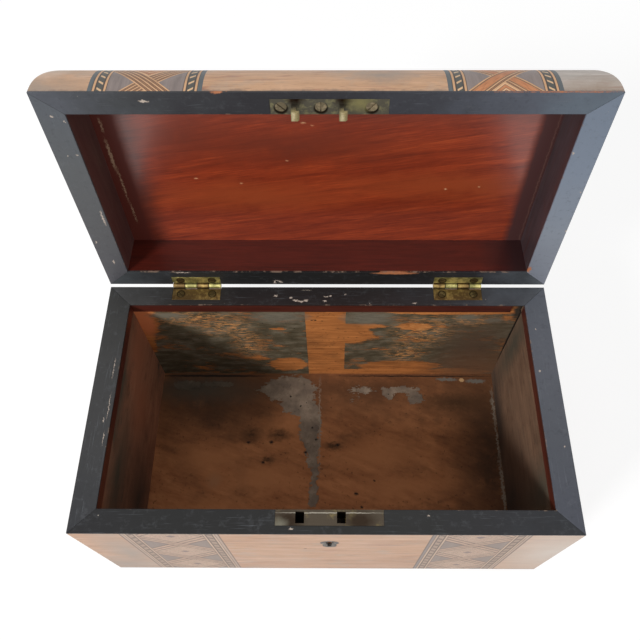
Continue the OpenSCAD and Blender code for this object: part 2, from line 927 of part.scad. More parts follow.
module link_plate() {
  color("#8a7b4c") on_lid() translate([lock_x, 0, 0]) difference() {
    union() {
      translate([-link_w / 2, -in_y - link_d, 0]) cube([link_w, link_d, flange_t]);
      for (place = [left_link, right_link])
        translate([place, -in_y, 0]) through_front(hook_mid - hook_t / 2, hook_mid + hook_t / 2) hook_outline();
    }
    link_screw_places() wood_screw(link_screw_head, screw_l, run / 2);
  }
}

module link_plate_screws() {
  color("#a3925c") on_lid() translate([lock_x, 0, 0]) link_screw_places() wood_screw(link_screw_head, screw_l);
}

front_board();
back_board();
left_board();
right_board();
bottom_board();
case_brads();
front_veneer();
back_veneer();
left_veneer();
right_veneer();
case_band_ground();
case_band_straps();
case_light_stringing();
case_dark_stringing();
case_rope_banding();
case_front_edging();
case_back_edging();
case_left_edging();
case_right_edging();
front_lip_strip();
back_lip_strip();
left_lip_strip();
right_lip_strip();
lock_plate();
lock_case();
lock_studs();
lock_key_pin();
lock_spring();
lock_screws();
lock_bolt();
keyhole_escutcheon();
left_hinge_case_leaf();
right_hinge_case_leaf();
left_hinge_pin();
right_hinge_pin();
case_hinge_screws();
lid_front_rail();
lid_back_rail();
lid_left_rail();
lid_right_rail();
lid_top_board();
lid_left_veneer();
lid_centre_veneer();
lid_right_veneer();
lid_band_ground();
lid_band_straps();
lid_light_stringing();
lid_dark_stringing();
lid_rope_banding();
lid_front_edging();
lid_back_edging();
lid_left_edging();
lid_right_edging();
link_plate();
link_plate_screws();
left_hinge_lid_leaf();
right_hinge_lid_leaf();
lid_hinge_screws();
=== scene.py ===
# Inlaid jewellery box with its lid open: finishes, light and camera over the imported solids.
import json
from math import cos, pi, radians, sin

import bpy
from mathutils import Matrix, Vector


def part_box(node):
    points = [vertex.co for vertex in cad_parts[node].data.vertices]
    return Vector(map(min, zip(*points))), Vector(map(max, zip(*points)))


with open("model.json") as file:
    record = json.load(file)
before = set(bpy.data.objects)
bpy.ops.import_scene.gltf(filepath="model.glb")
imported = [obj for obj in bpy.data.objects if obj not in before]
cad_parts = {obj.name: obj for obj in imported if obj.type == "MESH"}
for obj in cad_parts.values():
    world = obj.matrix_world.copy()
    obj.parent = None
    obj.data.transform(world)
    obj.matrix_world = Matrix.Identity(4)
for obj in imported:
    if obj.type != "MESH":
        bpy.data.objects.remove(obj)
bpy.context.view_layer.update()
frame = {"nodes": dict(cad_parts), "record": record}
nodes = frame["nodes"]

# Sizes in millimetres, read from the solids
rim_low, rim_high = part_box("case_left_edging")[0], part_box("case_right_edging")[1]
HALF_W = 500 * (rim_high[0] - rim_low[0])
HALF_D = 1000 * rim_high[1]
RIM_Z = 1000 * rim_high[2]
IN_X = 1000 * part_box("right_board")[0][0]
IN_Y = 1000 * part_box("back_board")[0][1]
FLOOR_Z = 1000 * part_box("bottom_board")[1][2]
hinge = next(joint for joint in frame["record"]["behaviour"]["joints"] if joint["name"] == "lid_hinge")
PIN = Vector(hinge["pos_m"]) * 1000
OPEN = radians(max(hinge["range_deg"]))
RIM_GAP = 2 * (PIN.z - RIM_Z)
# Lid profile and inlay, as in the solids
LID_FLAT, LID_ROUND, END_ROUND = 6.0, 34.0, 38.0
LID_HALF_RUN = LID_FLAT + LID_ROUND * pi / 2 + HALF_D - LID_ROUND
BAND_X, GROUND_R, STRAP_R = 91.0, 19.3, 6.3
LINE_W, ROPE_W = 1.8, 3.9
ROPE_MIDDLE = GROUND_R + LINE_W + ROPE_W / 2
CASE_CROSS, CASE_PITCH, LID_PITCH = 32.0, 48.0, 42.8
LID_CROSS, LID_CROSS_STEP = 11.0, 3.0
CEILING_Z = 28.0
# Hinges: their middle, half the pitch of their screws, a knuckle's width, and where the leaf meets the knuckles
HINGE_X, HINGE_SCREW_X, KNUCKLE_W = 90.0, 10.8, 8.25
HINGE_FOOT_Y, CASE_SCREW_Y, LID_SCREW_Y = 81.3, 77.1, 78.1
# Screws of the link plate: their places along it, and how far they lie out from the inside of the wall
LINK_SCREW_X, LINK_SCREW_OUT = (-22.7, -2.2, 23.9), 3.9
# The spot that the lamps look at and the camera's place, in metres, and the camera's turn, in degrees. A fit of the
# rim, floor and lid corners puts the photographer there.
LAMP_AIM = (0, 0, 0.1)
CAMERA_AT = (0.00415, -0.16451, 0.54391)
CAMERA_PITCH, CAMERA_YAW, CAMERA_ROLL = 60.02, -0.81, -0.62


# Materials

def linear(text):
    """Linear colour from an sRGB hex value."""
    parts = [int(text[at:at + 2], 16) / 255 for at in (1, 3, 5)]
    return [part / 12.92 if part <= 0.04045 else ((part + 0.055) / 1.055) ** 2.4 for part in parts] + [1.0]


def add(tree, kind, sockets=(), stops=(), **settings):
    """Adds a node with its settings, colour stops, values and links."""
    item = tree.nodes.new(kind)
    for name, value in settings.items():
        setattr(item, name, value)
    for count, (place, colour) in enumerate(stops):
        ends = item.color_ramp.elements
        stop = ends[count] if count < 2 else ends.new(place)
        stop.position, stop.color = place, linear(colour)
    for name, value in dict(sockets).items():
        if isinstance(value, bpy.types.NodeSocket):
            tree.links.new(value, item.inputs[name])
        else:
            item.inputs[name].default_value = linear(value) if isinstance(value, str) else value
    return item


def on_case(tree):
    """Place in millimetres from the middle of the underside."""
    spot = add(tree, "ShaderNodeTexCoord").outputs["Object"]
    return add(tree, "ShaderNodeMapping", {"Vector": spot, "Scale": (1000, 1000, 1000)}).outputs[0]


def on_lid(tree):
    """Place in millimetres in the lid's own frame, with its rim at zero."""
    move = Matrix.Rotation(OPEN, 3, "X") @ -PIN + Vector((0, PIN.y, -RIM_GAP / 2))
    spot = add(tree, "ShaderNodeTexCoord").outputs["Object"]
    return add(tree, "ShaderNodeMapping", {"Vector": spot, "Scale": (1000, 1000, 1000),
                                           "Rotation": (OPEN, 0, 0), "Location": move}).outputs[0]


def cloud(tree, place, size, seed=0.0, detail=4.0, rough=0.6, bend=0.0):
    """Soft random shade. size is its length in millimetres on each axis, so a long one draws fibres."""
    spot = add(tree, "ShaderNodeMapping", {"Vector": place, "Scale": [1 / value for value in size],
                                           "Location": (seed, seed * 0.7, -seed)}).outputs[0]
    return add(tree, "ShaderNodeTexNoise", {"Vector": spot, "Scale": 1.0, "Detail": detail, "Roughness": rough,
                                            "Distortion": bend}).outputs[0]


def areas(tree, place, spots, ragged, grain, soft):
    """Mask of uneven patches. Each spot is its middle and half sizes, and one of 900 or more spans the whole box.
    ragged is how far its edge wanders over each grain, and both may be given for each axis."""
    ragged, grain = [value if isinstance(value, tuple) else (value,) * 3 for value in (ragged, grain)]
    spot = add(tree, "ShaderNodeMapping", {"Vector": place, "Scale": [1 / value for value in grain],
                                           "Location": (3, 3, 3)}).outputs[0]
    drift = add(tree, "ShaderNodeTexNoise", {"Vector": spot, "Scale": 1.0, "Detail": 5.0,
                                             "Roughness": 0.7}).outputs["Color"]
    drift = add(tree, "ShaderNodeVectorMath", {0: drift, 1: (0.5, 0.5, 0.5)}, operation="SUBTRACT").outputs[0]
    drift = add(tree, "ShaderNodeVectorMath", {0: drift, 1: [4 * value for value in ragged], 2: place},
                operation="MULTIPLY_ADD").outputs[0]
    reach = None
    for middle, half in spots:
        scale = [1 / value for value in half]
        spot = add(tree, "ShaderNodeMapping", {"Vector": drift, "Scale": scale,
                                               "Location": [-a * b for a, b in zip(middle, scale)]}).outputs[0]
        far = add(tree, "ShaderNodeVectorMath", {0: spot}, operation="LENGTH").outputs["Value"]
        reach = far if reach is None else add(tree, "ShaderNodeMath", {0: reach, 1: far},
                                              operation="MINIMUM").outputs[0]
    return add(tree, "ShaderNodeMapRange", {0: reach, 1: 1 + soft, 2: max(1 - soft, 0.0)}).outputs[0]


def patches(tree, place, size, low, high, most=1.0, seed=0.0, detail=4.0, rough=0.6, bend=0.0):
    """Mask of random patches: clear where the shade is under low, and at its most over high."""
    shade = cloud(tree, place, size, seed, detail, rough, bend)
    return add(tree, "ShaderNodeMapRange", {0: shade, 1: low, 2: high, 4: most}).outputs[0]


def layers(tree, colour, *coats):
    """Coats laid over a colour in turn, each where its mask is light."""
    for mask, tone in coats:
        colour = add(tree, "ShaderNodeMix", {0: mask, 6: colour, 7: tone}, data_type="RGBA").outputs[2]
    return colour


def on_flat(z, deep, *spots):
    """Spots on a level face, each given by its place and half sizes along x and y."""
    return [((x, y, z), (wide, long, deep)) for x, y, wide, long in spots]


def on_floor(*spots):
    """Spots on the floor of the case."""
    return on_flat(FLOOR_Z, 9, *spots)


def on_ceiling(*spots):
    """Spots on the inside of the lid's top."""
    return on_flat(CEILING_Z, 9, *spots)


def on_back(*spots):
    """Spots on the back wall, each given by its place and half sizes along x and z."""
    return [((x, IN_Y, z), (wide, 20, high)) for x, z, wide, high in spots]


def marked(tree, place, colour, marks):
    """Marks of use, and painted shade, shadow, reflection and highlight. Each is its tone, how far its edge wanders,
    over what grain, how soft it is, and its spots.
    """
    return layers(tree, colour, *[(areas(tree, place, spots, ragged, grain, soft), tone)
                                  for tone, ragged, grain, soft, spots in marks])


def flecks(tree, place, cell, size, share):
    """Mask of small scattered spots. One cell in a few holds a spot, and all sizes are in millimetres."""
    spot = add(tree, "ShaderNodeMapping", {"Vector": place, "Scale": [1 / cell] * 3}).outputs[0]
    cells = add(tree, "ShaderNodeTexVoronoi", {"Vector": spot, "Scale": 1.0}).outputs
    near = add(tree, "ShaderNodeMapRange", {0: cells["Distance"], 1: size / cell, 2: 0.6 * size / cell}).outputs[0]
    lot = add(tree, "ShaderNodeSeparateColor", {0: cells["Color"]}).outputs[0]
    kept = add(tree, "ShaderNodeMath", {0: lot, 1: share}, operation="LESS_THAN").outputs[0]
    return add(tree, "ShaderNodeMath", {0: near, 1: kept}, operation="MULTIPLY").outputs[0]


def timber(tree, place, fibre, figure, tones, fine=0.4, seed=0.0, bend=0.6):
    """Colour and relief of cut wood. fibre and figure are the sizes of its fine lines and its broad shades."""
    broad = cloud(tree, place, figure, seed, 3, 0.55, bend)
    line = cloud(tree, place, fibre, seed + 9, 5, 0.65)
    shade = add(tree, "ShaderNodeMix", {0: fine, 2: broad, 3: line}, data_type="FLOAT").outputs[0]
    return add(tree, "ShaderNodeValToRGB", {0: shade}, tones).outputs[0], line


def surface(tree, colour, rough, height=None, depth=0.05, edge=0.0, **constants):
    """Shader of a finish. depth is the relief and edge the rounding of corners, both in millimetres."""
    sockets = {"Base Color": colour, "Roughness": rough}
    sockets.update({name.replace("_", " "): value for name, value in constants.items()})
    normal = None
    if edge:
        normal = add(tree, "ShaderNodeBevel", {"Radius": edge / 1000}, samples=4).outputs[0]
    if height is not None:
        relief = {"Height": height, "Distance": depth / 1000, "Strength": 1.0}
        if normal is not None:
            relief["Normal"] = normal
        normal = add(tree, "ShaderNodeBump", relief).outputs[0]
    if normal is not None:
        sockets["Normal"] = normal
    add(tree, "ShaderNodeOutputMaterial", {0: add(tree, "ShaderNodeBsdfPrincipled", sockets).outputs[0]})


def finish(name, draw, *words):
    """A material, drawn into its own tree."""
    material = bpy.data.materials.new(name)
    material.use_nodes = True
    material.node_tree.nodes.clear()
    draw(material.node_tree, *words)
    return material


def wear(pieces, material):
    """Gives the finish to every solid named."""
    for piece in pieces.split():
        for slot in nodes[piece].material_slots:
            slot.material = material


def reach_from(tree, place, middle, scale):
    """How far a place lies beyond a middle, on the axes that have a scale."""
    far = add(tree, "ShaderNodeVectorMath", {0: place}, operation="ABSOLUTE").outputs[0]
    far = add(tree, "ShaderNodeVectorMath", {0: far, 1: middle}, operation="SUBTRACT").outputs[0]
    far = add(tree, "ShaderNodeVectorMath", {0: far, 1: (0, 0, 0)}, operation="MAXIMUM").outputs[0]
    far = add(tree, "ShaderNodeVectorMath", {0: far, 1: scale}, operation="MULTIPLY").outputs[0]
    return add(tree, "ShaderNodeVectorMath", {0: far}, operation="LENGTH").outputs["Value"]


def veneer_grain(tree, place, lid):
    """Place with the grain along its first axis: level round the case, and over the lid's ends down to the rim."""
    parts = add(tree, "ShaderNodeSeparateXYZ", {0: place}).outputs
    if not lid:
        # The outer 0.9 mm of both ends, where the grain runs from front to back
        end = reach_from(tree, place, (HALF_W - 1.9, 0, 0), (1, 0, 0))
        end = add(tree, "ShaderNodeMath", {0: end, 1: 1.0}, operation="GREATER_THAN").outputs[0]
        turned = add(tree, "ShaderNodeCombineXYZ", {0: parts[1], 1: parts[0], 2: parts[2]}).outputs[0]
        return add(tree, "ShaderNodeMix", {0: end, 4: place, 5: turned}, data_type="VECTOR").outputs[1]
    top = LID_FLAT + LID_ROUND
    side = reach_from(tree, place, (HALF_W - END_ROUND, 0, top - END_ROUND), (1 / END_ROUND, 0, 1 / END_ROUND))
    front = reach_from(tree, place, (0, HALF_D - LID_ROUND, LID_FLAT), (0, 1 / LID_ROUND, 1 / LID_ROUND))
    end = add(tree, "ShaderNodeMath", {0: side, 1: front}, operation="SUBTRACT").outputs[0]
    end = add(tree, "ShaderNodeMath", {0: end, 1: 0.004}, operation="GREATER_THAN").outputs[0]
    down = add(tree, "ShaderNodeMath", {0: top, 1: parts[2]}, operation="SUBTRACT").outputs[0]
    sign = add(tree, "ShaderNodeMath", {0: parts[0]}, operation="SIGN").outputs[0]
    along = add(tree, "ShaderNodeMath", {0: down, 1: sign, 2: parts[0]}, operation="MULTIPLY_ADD").outputs[0]
    turned = add(tree, "ShaderNodeCombineXYZ", {0: along, 1: parts[1], 2: top}).outputs[0]
    return add(tree, "ShaderNodeMix", {0: end, 4: place, 5: turned}, data_type="VECTOR").outputs[1]


# Walnut veneer, faded by light to a pinkish tan and waxed: a satin skin with soft dark streaks and greyish bloom
def walnut(tree, lid, tones, streak, marks):
    place = (on_lid if lid else on_case)(tree)
    grain = veneer_grain(tree, place, lid)
    colour, line = timber(tree, grain, (34, 1.6, 1.6), (90, 10, 10), tones, 0.42, bend=1.2)
    colour = layers(tree, colour, (patches(tree, grain, (60, 7, 7), 0.54, 0.74, 0.8, 31, bend=2.4), streak),
                    (patches(tree, grain, (22, 14, 14), 0.52, 0.75, 0.5, 77, rough=0.65), "#a39a90"),
                    (patches(tree, grain, (6, 0.35, 0.35), 0.6, 0.7, 0.4, 5, 2, 0.5), "#6d5241"))
    colour = marked(tree, place, colour, marks)
    colour = layers(tree, colour, (flecks(tree, place, 17, 1.1, 0.5), "#5b4334"))
    rub = cloud(tree, place, (30, 30, 30), 12)
    rough = add(tree, "ShaderNodeMapRange", {0: rub, 3: 0.36, 4: 0.58}).outputs[0]
    surface(tree, colour, rough, line, 0.03)


CASE_TONES = [(0.3, "#9c7359"), (0.7, "#d2ab8e"), (0.46, "#bb9070"), (0.58, "#c69e80")]
LID_TONES = [(0.3, "#a0795e"), (0.7, "#ddb494"), (0.46, "#c29977"), (0.58, "#cfa584")]
PALE_TONES = [(0.3, "#9a8f86"), (0.7, "#cec6be"), (0.46, "#b2a9a1"), (0.58, "#c1b7af")]


def case_walnut(tree):
    walnut(tree, False, CASE_TONES, "#a5785f",
           [("#cfc0b3", 4, 14, 0.9, [((146, -82, 70), (24, 8, 60)), ((150, -40, 90), (8, 50, 40))]),
            ("#a08d7f", 3, 9, 0.9, [((-140, -82, 16), (24, 8, 22)), ((-128, -82, 60), (10, 8, 40))]),
            ("#5f4c3e", (8, 3, 0.5), (9, 9, 9), 0.5, [((0, 0, 0), (1600, 900, 1.1))])])


def lid_walnut(tree, tones=LID_TONES):
    walnut(tree, True, tones, "#976450",
           [("#d9cabd", 3, 10, 0.9, [((-146, -70, 26), (10, 12, 12))]),
            ("#9c8a7b", 5, 12, 0.95, [((138, -84, 2), (22, 8, 7)), ((-144, -84, 2), (16, 8, 7)),
                                      ((30, -80, 16), (12, 14, 6))]),
            ("#786557", 2, 8, 0.9, [((0, -84, 0), (1600, 60, 1.4)), ((8, -70, 30), (8, 9, 6)),
                                    ((0, 84, 2), (1600, 60, 4))])])


wear("front_veneer back_veneer left_veneer right_veneer", finish("faded_walnut_veneer", case_walnut))
wear("lid_left_veneer lid_centre_veneer", finish("lid_walnut_veneer", lid_walnut))
wear("lid_right_veneer", finish("lid_bleached_walnut_veneer", lid_walnut, PALE_TONES))


# Inlay. Every pattern is drawn from the distance off the band's middle and the way along the band.
def band_ways(tree, lid):
    """Place, distance off the nearest band's middle, way along it from a crossing, pitch, lean of the upper strap."""
    place = on_lid(tree) if lid else on_case(tree)
    parts = add(tree, "ShaderNodeSeparateXYZ", {0: place}).outputs
    side = add(tree, "ShaderNodeMath", {0: parts[0]}, operation="ABSOLUTE").outputs[0]
    off = add(tree, "ShaderNodeMath", {0: BAND_X, 1: side}, operation="SUBTRACT").outputs[0]
    if not lid:
        way = add(tree, "ShaderNodeMath", {0: RIM_Z - CASE_CROSS, 1: parts[2]}, operation="SUBTRACT").outputs[0]
        return place, off, way, CASE_PITCH, -1
    back = add(tree, "ShaderNodeMath", {0: parts[1]}, operation="ABSOLUTE").outputs[0]
    over = add(tree, "ShaderNodeMath", {0: back, 1: HALF_D - LID_ROUND}, operation="SUBTRACT").outputs[0]
    out = add(tree, "ShaderNodeMath", {0: over, 1: 0.0}, operation="MAXIMUM").outputs[0]
    flat = add(tree, "ShaderNodeMath", {0: over, 1: 0.0}, operation="MINIMUM").outputs[0]
    rise = add(tree, "ShaderNodeMath", {0: parts[2], 1: LID_FLAT}, operation="SUBTRACT").outputs[0]
    up = add(tree, "ShaderNodeMath", {0: rise, 1: 0.0}, operation="MAXIMUM").outputs[0]
    low = add(tree, "ShaderNodeMath", {0: rise, 1: 0.0}, operation="MINIMUM").outputs[0]
    angle = add(tree, "ShaderNodeMath", {0: up, 1: out}, operation="ARCTAN2").outputs[0]
    half = add(tree, "ShaderNodeMath", {0: angle, 1: LID_ROUND, 2: low}, operation="MULTIPLY_ADD").outputs[0]
    half = add(tree, "ShaderNodeMath", {0: half, 1: flat}, operation="SUBTRACT").outputs[0]
    left = add(tree, "ShaderNodeMath", {0: LID_HALF_RUN - LID_FLAT, 1: half}, operation="SUBTRACT").outputs[0]
    sign = add(tree, "ShaderNodeMath", {0: parts[1]}, operation="SIGN").outputs[0]
    way = add(tree, "ShaderNodeMath", {0: left, 1: sign, 2: LID_HALF_RUN - LID_CROSS},
              operation="MULTIPLY_ADD").outputs[0]
    end = add(tree, "ShaderNodeMath", {0: parts[0]}, operation="SIGN").outputs[0]
    way = add(tree, "ShaderNodeMath", {0: end, 1: -LID_CROSS_STEP, 2: way}, operation="MULTIPLY_ADD").outputs[0]
    return place, off, way, LID_PITCH, 1


# Tones, and in millimetres: half a rope dash, the step of the dashes and of a diamond's rings, and for the lines of a
# strap their step, the half width of the black and that of the pale line in it
FADED = {"dark": "#5d483c", "tan": ("#a4836e", "#c1a189"), "pale": ("#b1927b", "#c8ad94"),
         "grey": ("#7c6b62", "#938176"), "salmon": ("#a98672", "#c2a28b"), "heart": "#7e6a63",
         "rope": "#a38975", "rope_dash": "#644e41", "dash": 1.3, "beat": 4.8, "ring": 2.8, "lines": (5.6, 0.7, 0.0),
         "dyed": ("#a48a78", "#b99f8d"), "dyed_grime": "#77695a"}
STRONG = {"dark": "#3a2f28", "tan": ("#8a5a3b", "#ad7b52"), "pale": ("#bd8f66", "#e0b389"),
          "grey": ("#6d625e", "#92847f"), "salmon": ("#a2653f", "#cc8a5c"), "heart": "#40433e",
          "rope": "#43443f", "rope_dash": "#d9b48b", "dash": 0.72, "beat": 2.8, "ring": 2.1,
          "lines": (2.87, 1.05, 0.57), "dyed": ("#41464a", "#636a6c"), "dyed_grime": "#6b6056"}


def strap_lines(tree, across, along, wide, tones):
    """Lines over tan wood, along one strap: black, or pale edged in black. wide is 1 where it has a broad field."""
    space, black, white = tones["lines"]
    line = add(tree, "ShaderNodeMath", {0: across, 1: space / 2, 2: -space / 2}, operation="WRAP").outputs[0]
    line = add(tree, "ShaderNodeMath", {0: line}, operation="ABSOLUTE").outputs[0]
    ends = add(tree, "ShaderNodeCombineXYZ", {0: across, 1: along}).outputs[0]
    fibre = cloud(tree, ends, (1.0, 11, 1), 4, 4)
    tan = add(tree, "ShaderNodeValToRGB", {0: fibre}, list(zip((0.3, 0.7), tones["tan"]))).outputs[0]
    dark = add(tree, "ShaderNodeMapRange", {0: line, 1: black + 0.05, 2: black - 0.05}).outputs[0]
    colour = layers(tree, tan, (dark, tones["dark"]))
    if not white:
        return colour
    salmon = add(tree, "ShaderNodeValToRGB", {0: fibre}, list(zip((0.35, 0.65), tones["salmon"]))).outputs[0]
    pale = add(tree, "ShaderNodeValToRGB", {0: fibre}, list(zip((0.3, 0.7), tones["pale"]))).outputs[0]
    field = add(tree, "ShaderNodeMath", {0: across, 1: space / 2, 2: 1.8 * space / 2}, operation="COMPARE").outputs[0]
    field = add(tree, "ShaderNodeMath", {0: field, 1: wide}, operation="MULTIPLY").outputs[0]
    light = add(tree, "ShaderNodeMapRange", {0: line, 1: white + 0.05, 2: white - 0.05}).outputs[0]
    return layers(tree, colour, (light, pale), (field, salmon))


def inlay_surface(tree, place, colour, grime="#5d5148"):
    """Age over all the inlay: rubbed dirt, and a satin wax."""
    dirt = patches(tree, place, (13, 13, 13), 0.5, 0.85, 0.4, 21, 6, 0.7)
    surface(tree, layers(tree, colour, (dirt, grime)), 0.48, cloud(tree, place, (2, 2, 2), 8), 0.03)


# Satinwood straps with boxwood and black lines: tan with crisp pale stripes on the lid, faint dark ones on the case
def straps(tree, lid, tones):
    place, off, way, pitch, turn = band_ways(tree, lid)
    end = add(tree, "ShaderNodeSeparateXYZ", {0: place}).outputs[0]
    wide = add(tree, "ShaderNodeMath", {0: end, 1: 0.0}, operation="GREATER_THAN").outputs[0]
    across = []
    for lean in (turn, -turn):
        shift = add(tree, "ShaderNodeMath", {0: off, 1: lean, 2: way}, operation="MULTIPLY_ADD").outputs[0]
        across.append(add(tree, "ShaderNodeMath", {0: shift, 1: pitch / 2, 2: -pitch / 2},
                          operation="WRAP").outputs[0])
    upper = strap_lines(tree, across[0], across[1], wide, tones)
    lower = strap_lines(tree, across[1], across[0], wide, tones)
    size = add(tree, "ShaderNodeMath", {0: across[0]}, operation="ABSOLUTE").outputs[0]
    on_top = add(tree, "ShaderNodeMath", {0: size, 1: STRAP_R + 0.03}, operation="LESS_THAN").outputs[0]
    inlay_surface(tree, place, layers(tree, lower, (on_top, upper)))


# Harewood and satinwood ground: grey-mauve side pieces, and tan diamonds with nested lines round a dark one
def ground(tree, lid, tones):
    place, off, way, pitch = band_ways(tree, lid)[:4]
    middle = add(tree, "ShaderNodeMath", {0: way, 1: pitch / 2}, operation="SUBTRACT").outputs[0]
    middle = add(tree, "ShaderNodeMath", {0: middle, 1: pitch / 2, 2: -pitch / 2}, operation="WRAP").outputs[0]
    middle = add(tree, "ShaderNodeMath", {0: middle}, operation="ABSOLUTE").outputs[0]
    size = add(tree, "ShaderNodeMath", {0: off}, operation="ABSOLUTE").outputs[0]
    ring = add(tree, "ShaderNodeMath", {0: middle, 1: size}, operation="ADD").outputs[0]
    edge = pitch / 2 - STRAP_R
    diamond = add(tree, "ShaderNodeMath", {0: ring, 1: edge + 0.5}, operation="LESS_THAN").outputs[0]
    grey = timber(tree, place, (0.9, 0.9, 20), (6, 6, 60), list(zip((0.3, 0.7), tones["grey"])))[0]
    tan = timber(tree, place, (0.8, 0.8, 12), (6, 6, 50), list(zip((0.3, 0.7), tones["salmon"])))[0]
    line = add(tree, "ShaderNodeMath", {0: ring, 1: edge - 0.6}, operation="SUBTRACT").outputs[0]
    line = add(tree, "ShaderNodeMath", {0: line, 1: tones["ring"], 2: -tones["ring"]}, operation="WRAP").outputs[0]
    line = add(tree, "ShaderNodeMath", {0: line}, operation="ABSOLUTE").outputs[0]
    dark = add(tree, "ShaderNodeMapRange", {0: line, 1: 1.05, 2: 0.95}).outputs[0]
    light = add(tree, "ShaderNodeMapRange", {0: line, 1: 0.7, 2: 0.6}).outputs[0]
    heart = add(tree, "ShaderNodeMath", {0: ring, 1: 3.1}, operation="LESS_THAN").outputs[0]
    fill = layers(tree, tan, (dark, tones["dark"]), (light, tones["pale"][1]), (heart, tones["heart"]))
    inlay_surface(tree, place, layers(tree, grey, (diamond, fill)))


# Rope banding: slanting boxwood dashes in a blackened strip, leaning the other way on each side of a band
def rope(tree, lid, tones):
    place, off, way = band_ways(tree, lid)[:3]
    end = add(tree, "ShaderNodeSeparateXYZ", {0: place}).outputs[0]
    end = add(tree, "ShaderNodeMath", {0: end}, operation="SIGN").outputs[0]
    size = add(tree, "ShaderNodeMath", {0: off}, operation="ABSOLUTE").outputs[0]
    middle = add(tree, "ShaderNodeMath", {0: size, 1: ROPE_MIDDLE}, operation="SUBTRACT").outputs[0]
    lean = add(tree, "ShaderNodeMath", {0: middle, 1: end}, operation="MULTIPLY").outputs[0]
    slant = add(tree, "ShaderNodeMath", {0: lean, 1: 0.8, 2: way}, operation="MULTIPLY_ADD").outputs[0]
    dash = add(tree, "ShaderNodeMath", {0: slant, 1: tones["beat"], 2: -tones["beat"]}, operation="WRAP").outputs[0]
    dash = add(tree, "ShaderNodeMath", {0: dash}, operation="ABSOLUTE").outputs[0]
    inside = add(tree, "ShaderNodeMath", {0: middle}, operation="ABSOLUTE").outputs[0]
    dash = add(tree, "ShaderNodeMapRange", {0: dash, 1: tones["dash"] + 0.1, 2: tones["dash"]}).outputs[0]
    edge = add(tree, "ShaderNodeMapRange", {0: inside, 1: 1.45, 2: 1.6}).outputs[0]
    inside = add(tree, "ShaderNodeMapRange", {0: inside, 1: 1.4, 2: 1.3}).outputs[0]
    mask = add(tree, "ShaderNodeMath", {0: dash, 1: inside}, operation="MULTIPLY").outputs[0]
    inlay_surface(tree, place, layers(tree, tones["rope"], (mask, tones["rope_dash"]), (edge, tones["dark"])))


# Boxwood line: pale straw yellow with a close even grain, and a black hair line along both its edges
def boxwood(tree, lid, tones):
    place, off = band_ways(tree, lid)[:2]
    size = add(tree, "ShaderNodeMath", {0: off}, operation="ABSOLUTE").outputs[0]
    middle = add(tree, "ShaderNodeMath", {0: size, 1: ROPE_MIDDLE}, operation="SUBTRACT").outputs[0]
    middle = add(tree, "ShaderNodeMath", {0: middle}, operation="ABSOLUTE").outputs[0]
    middle = add(tree, "ShaderNodeMath", {0: middle, 1: (ROPE_W + LINE_W) / 2}, operation="SUBTRACT").outputs[0]
    middle = add(tree, "ShaderNodeMath", {0: middle}, operation="ABSOLUTE").outputs[0]
    edge = add(tree, "ShaderNodeMapRange", {0: middle, 1: 0.5, 2: 0.6}).outputs[0]
    colour = timber(tree, place, (0.9, 12, 12), (4, 40, 40), list(zip((0.3, 0.7), tones["pale"])))[0]
    inlay_surface(tree, place, layers(tree, colour, (edge, tones["dark"])), "#6b5a4a")


# Dyed line: black gone greenish grey on the lid, and on the case faded to tan beside three of its four borders
def dyed(tree, lid, tones):
    place, off = band_ways(tree, lid)[:2]
    colour = timber(tree, place, (0.9, 12, 12), (4, 40, 40), list(zip((0.3, 0.7), tones["dyed"])))[0]
    if lid:
        return inlay_surface(tree, place, colour, tones["dyed_grime"])
    wide = add(tree, "ShaderNodeSeparateXYZ", {0: place}).outputs[0]
    right = add(tree, "ShaderNodeMath", {0: wide, 1: 0.0}, operation="GREATER_THAN").outputs[0]
    inner = add(tree, "ShaderNodeMath", {0: off, 1: 0.0}, operation="GREATER_THAN").outputs[0]
    kept = add(tree, "ShaderNodeMath", {0: right, 1: inner}, operation="MULTIPLY").outputs[0]
    size = add(tree, "ShaderNodeMath", {0: off}, operation="ABSOLUTE").outputs[0]
    edge = add(tree, "ShaderNodeMapRange", {0: size, 1: ROPE_MIDDLE + 5.1, 2: ROPE_MIDDLE + 5.3}).outputs[0]
    inlay_surface(tree, place, layers(tree, colour, (kept, "#857873"), (edge, "#6b564a")), tones["dyed_grime"])


for part, lid, tones in (("case", False, FADED), ("lid", True, STRONG)):
    for piece, name, draw in (("band_straps", "satinwood_straps", straps), ("band_ground", "harewood_ground", ground),
                              ("rope_banding", "rope_banding", rope), ("light_stringing", "boxwood_line", boxwood),
                              ("dark_stringing", "dyed_line", dyed)):
        wear(f"{part}_{piece}", finish(f"{part}_{name}", draw, lid, tones))
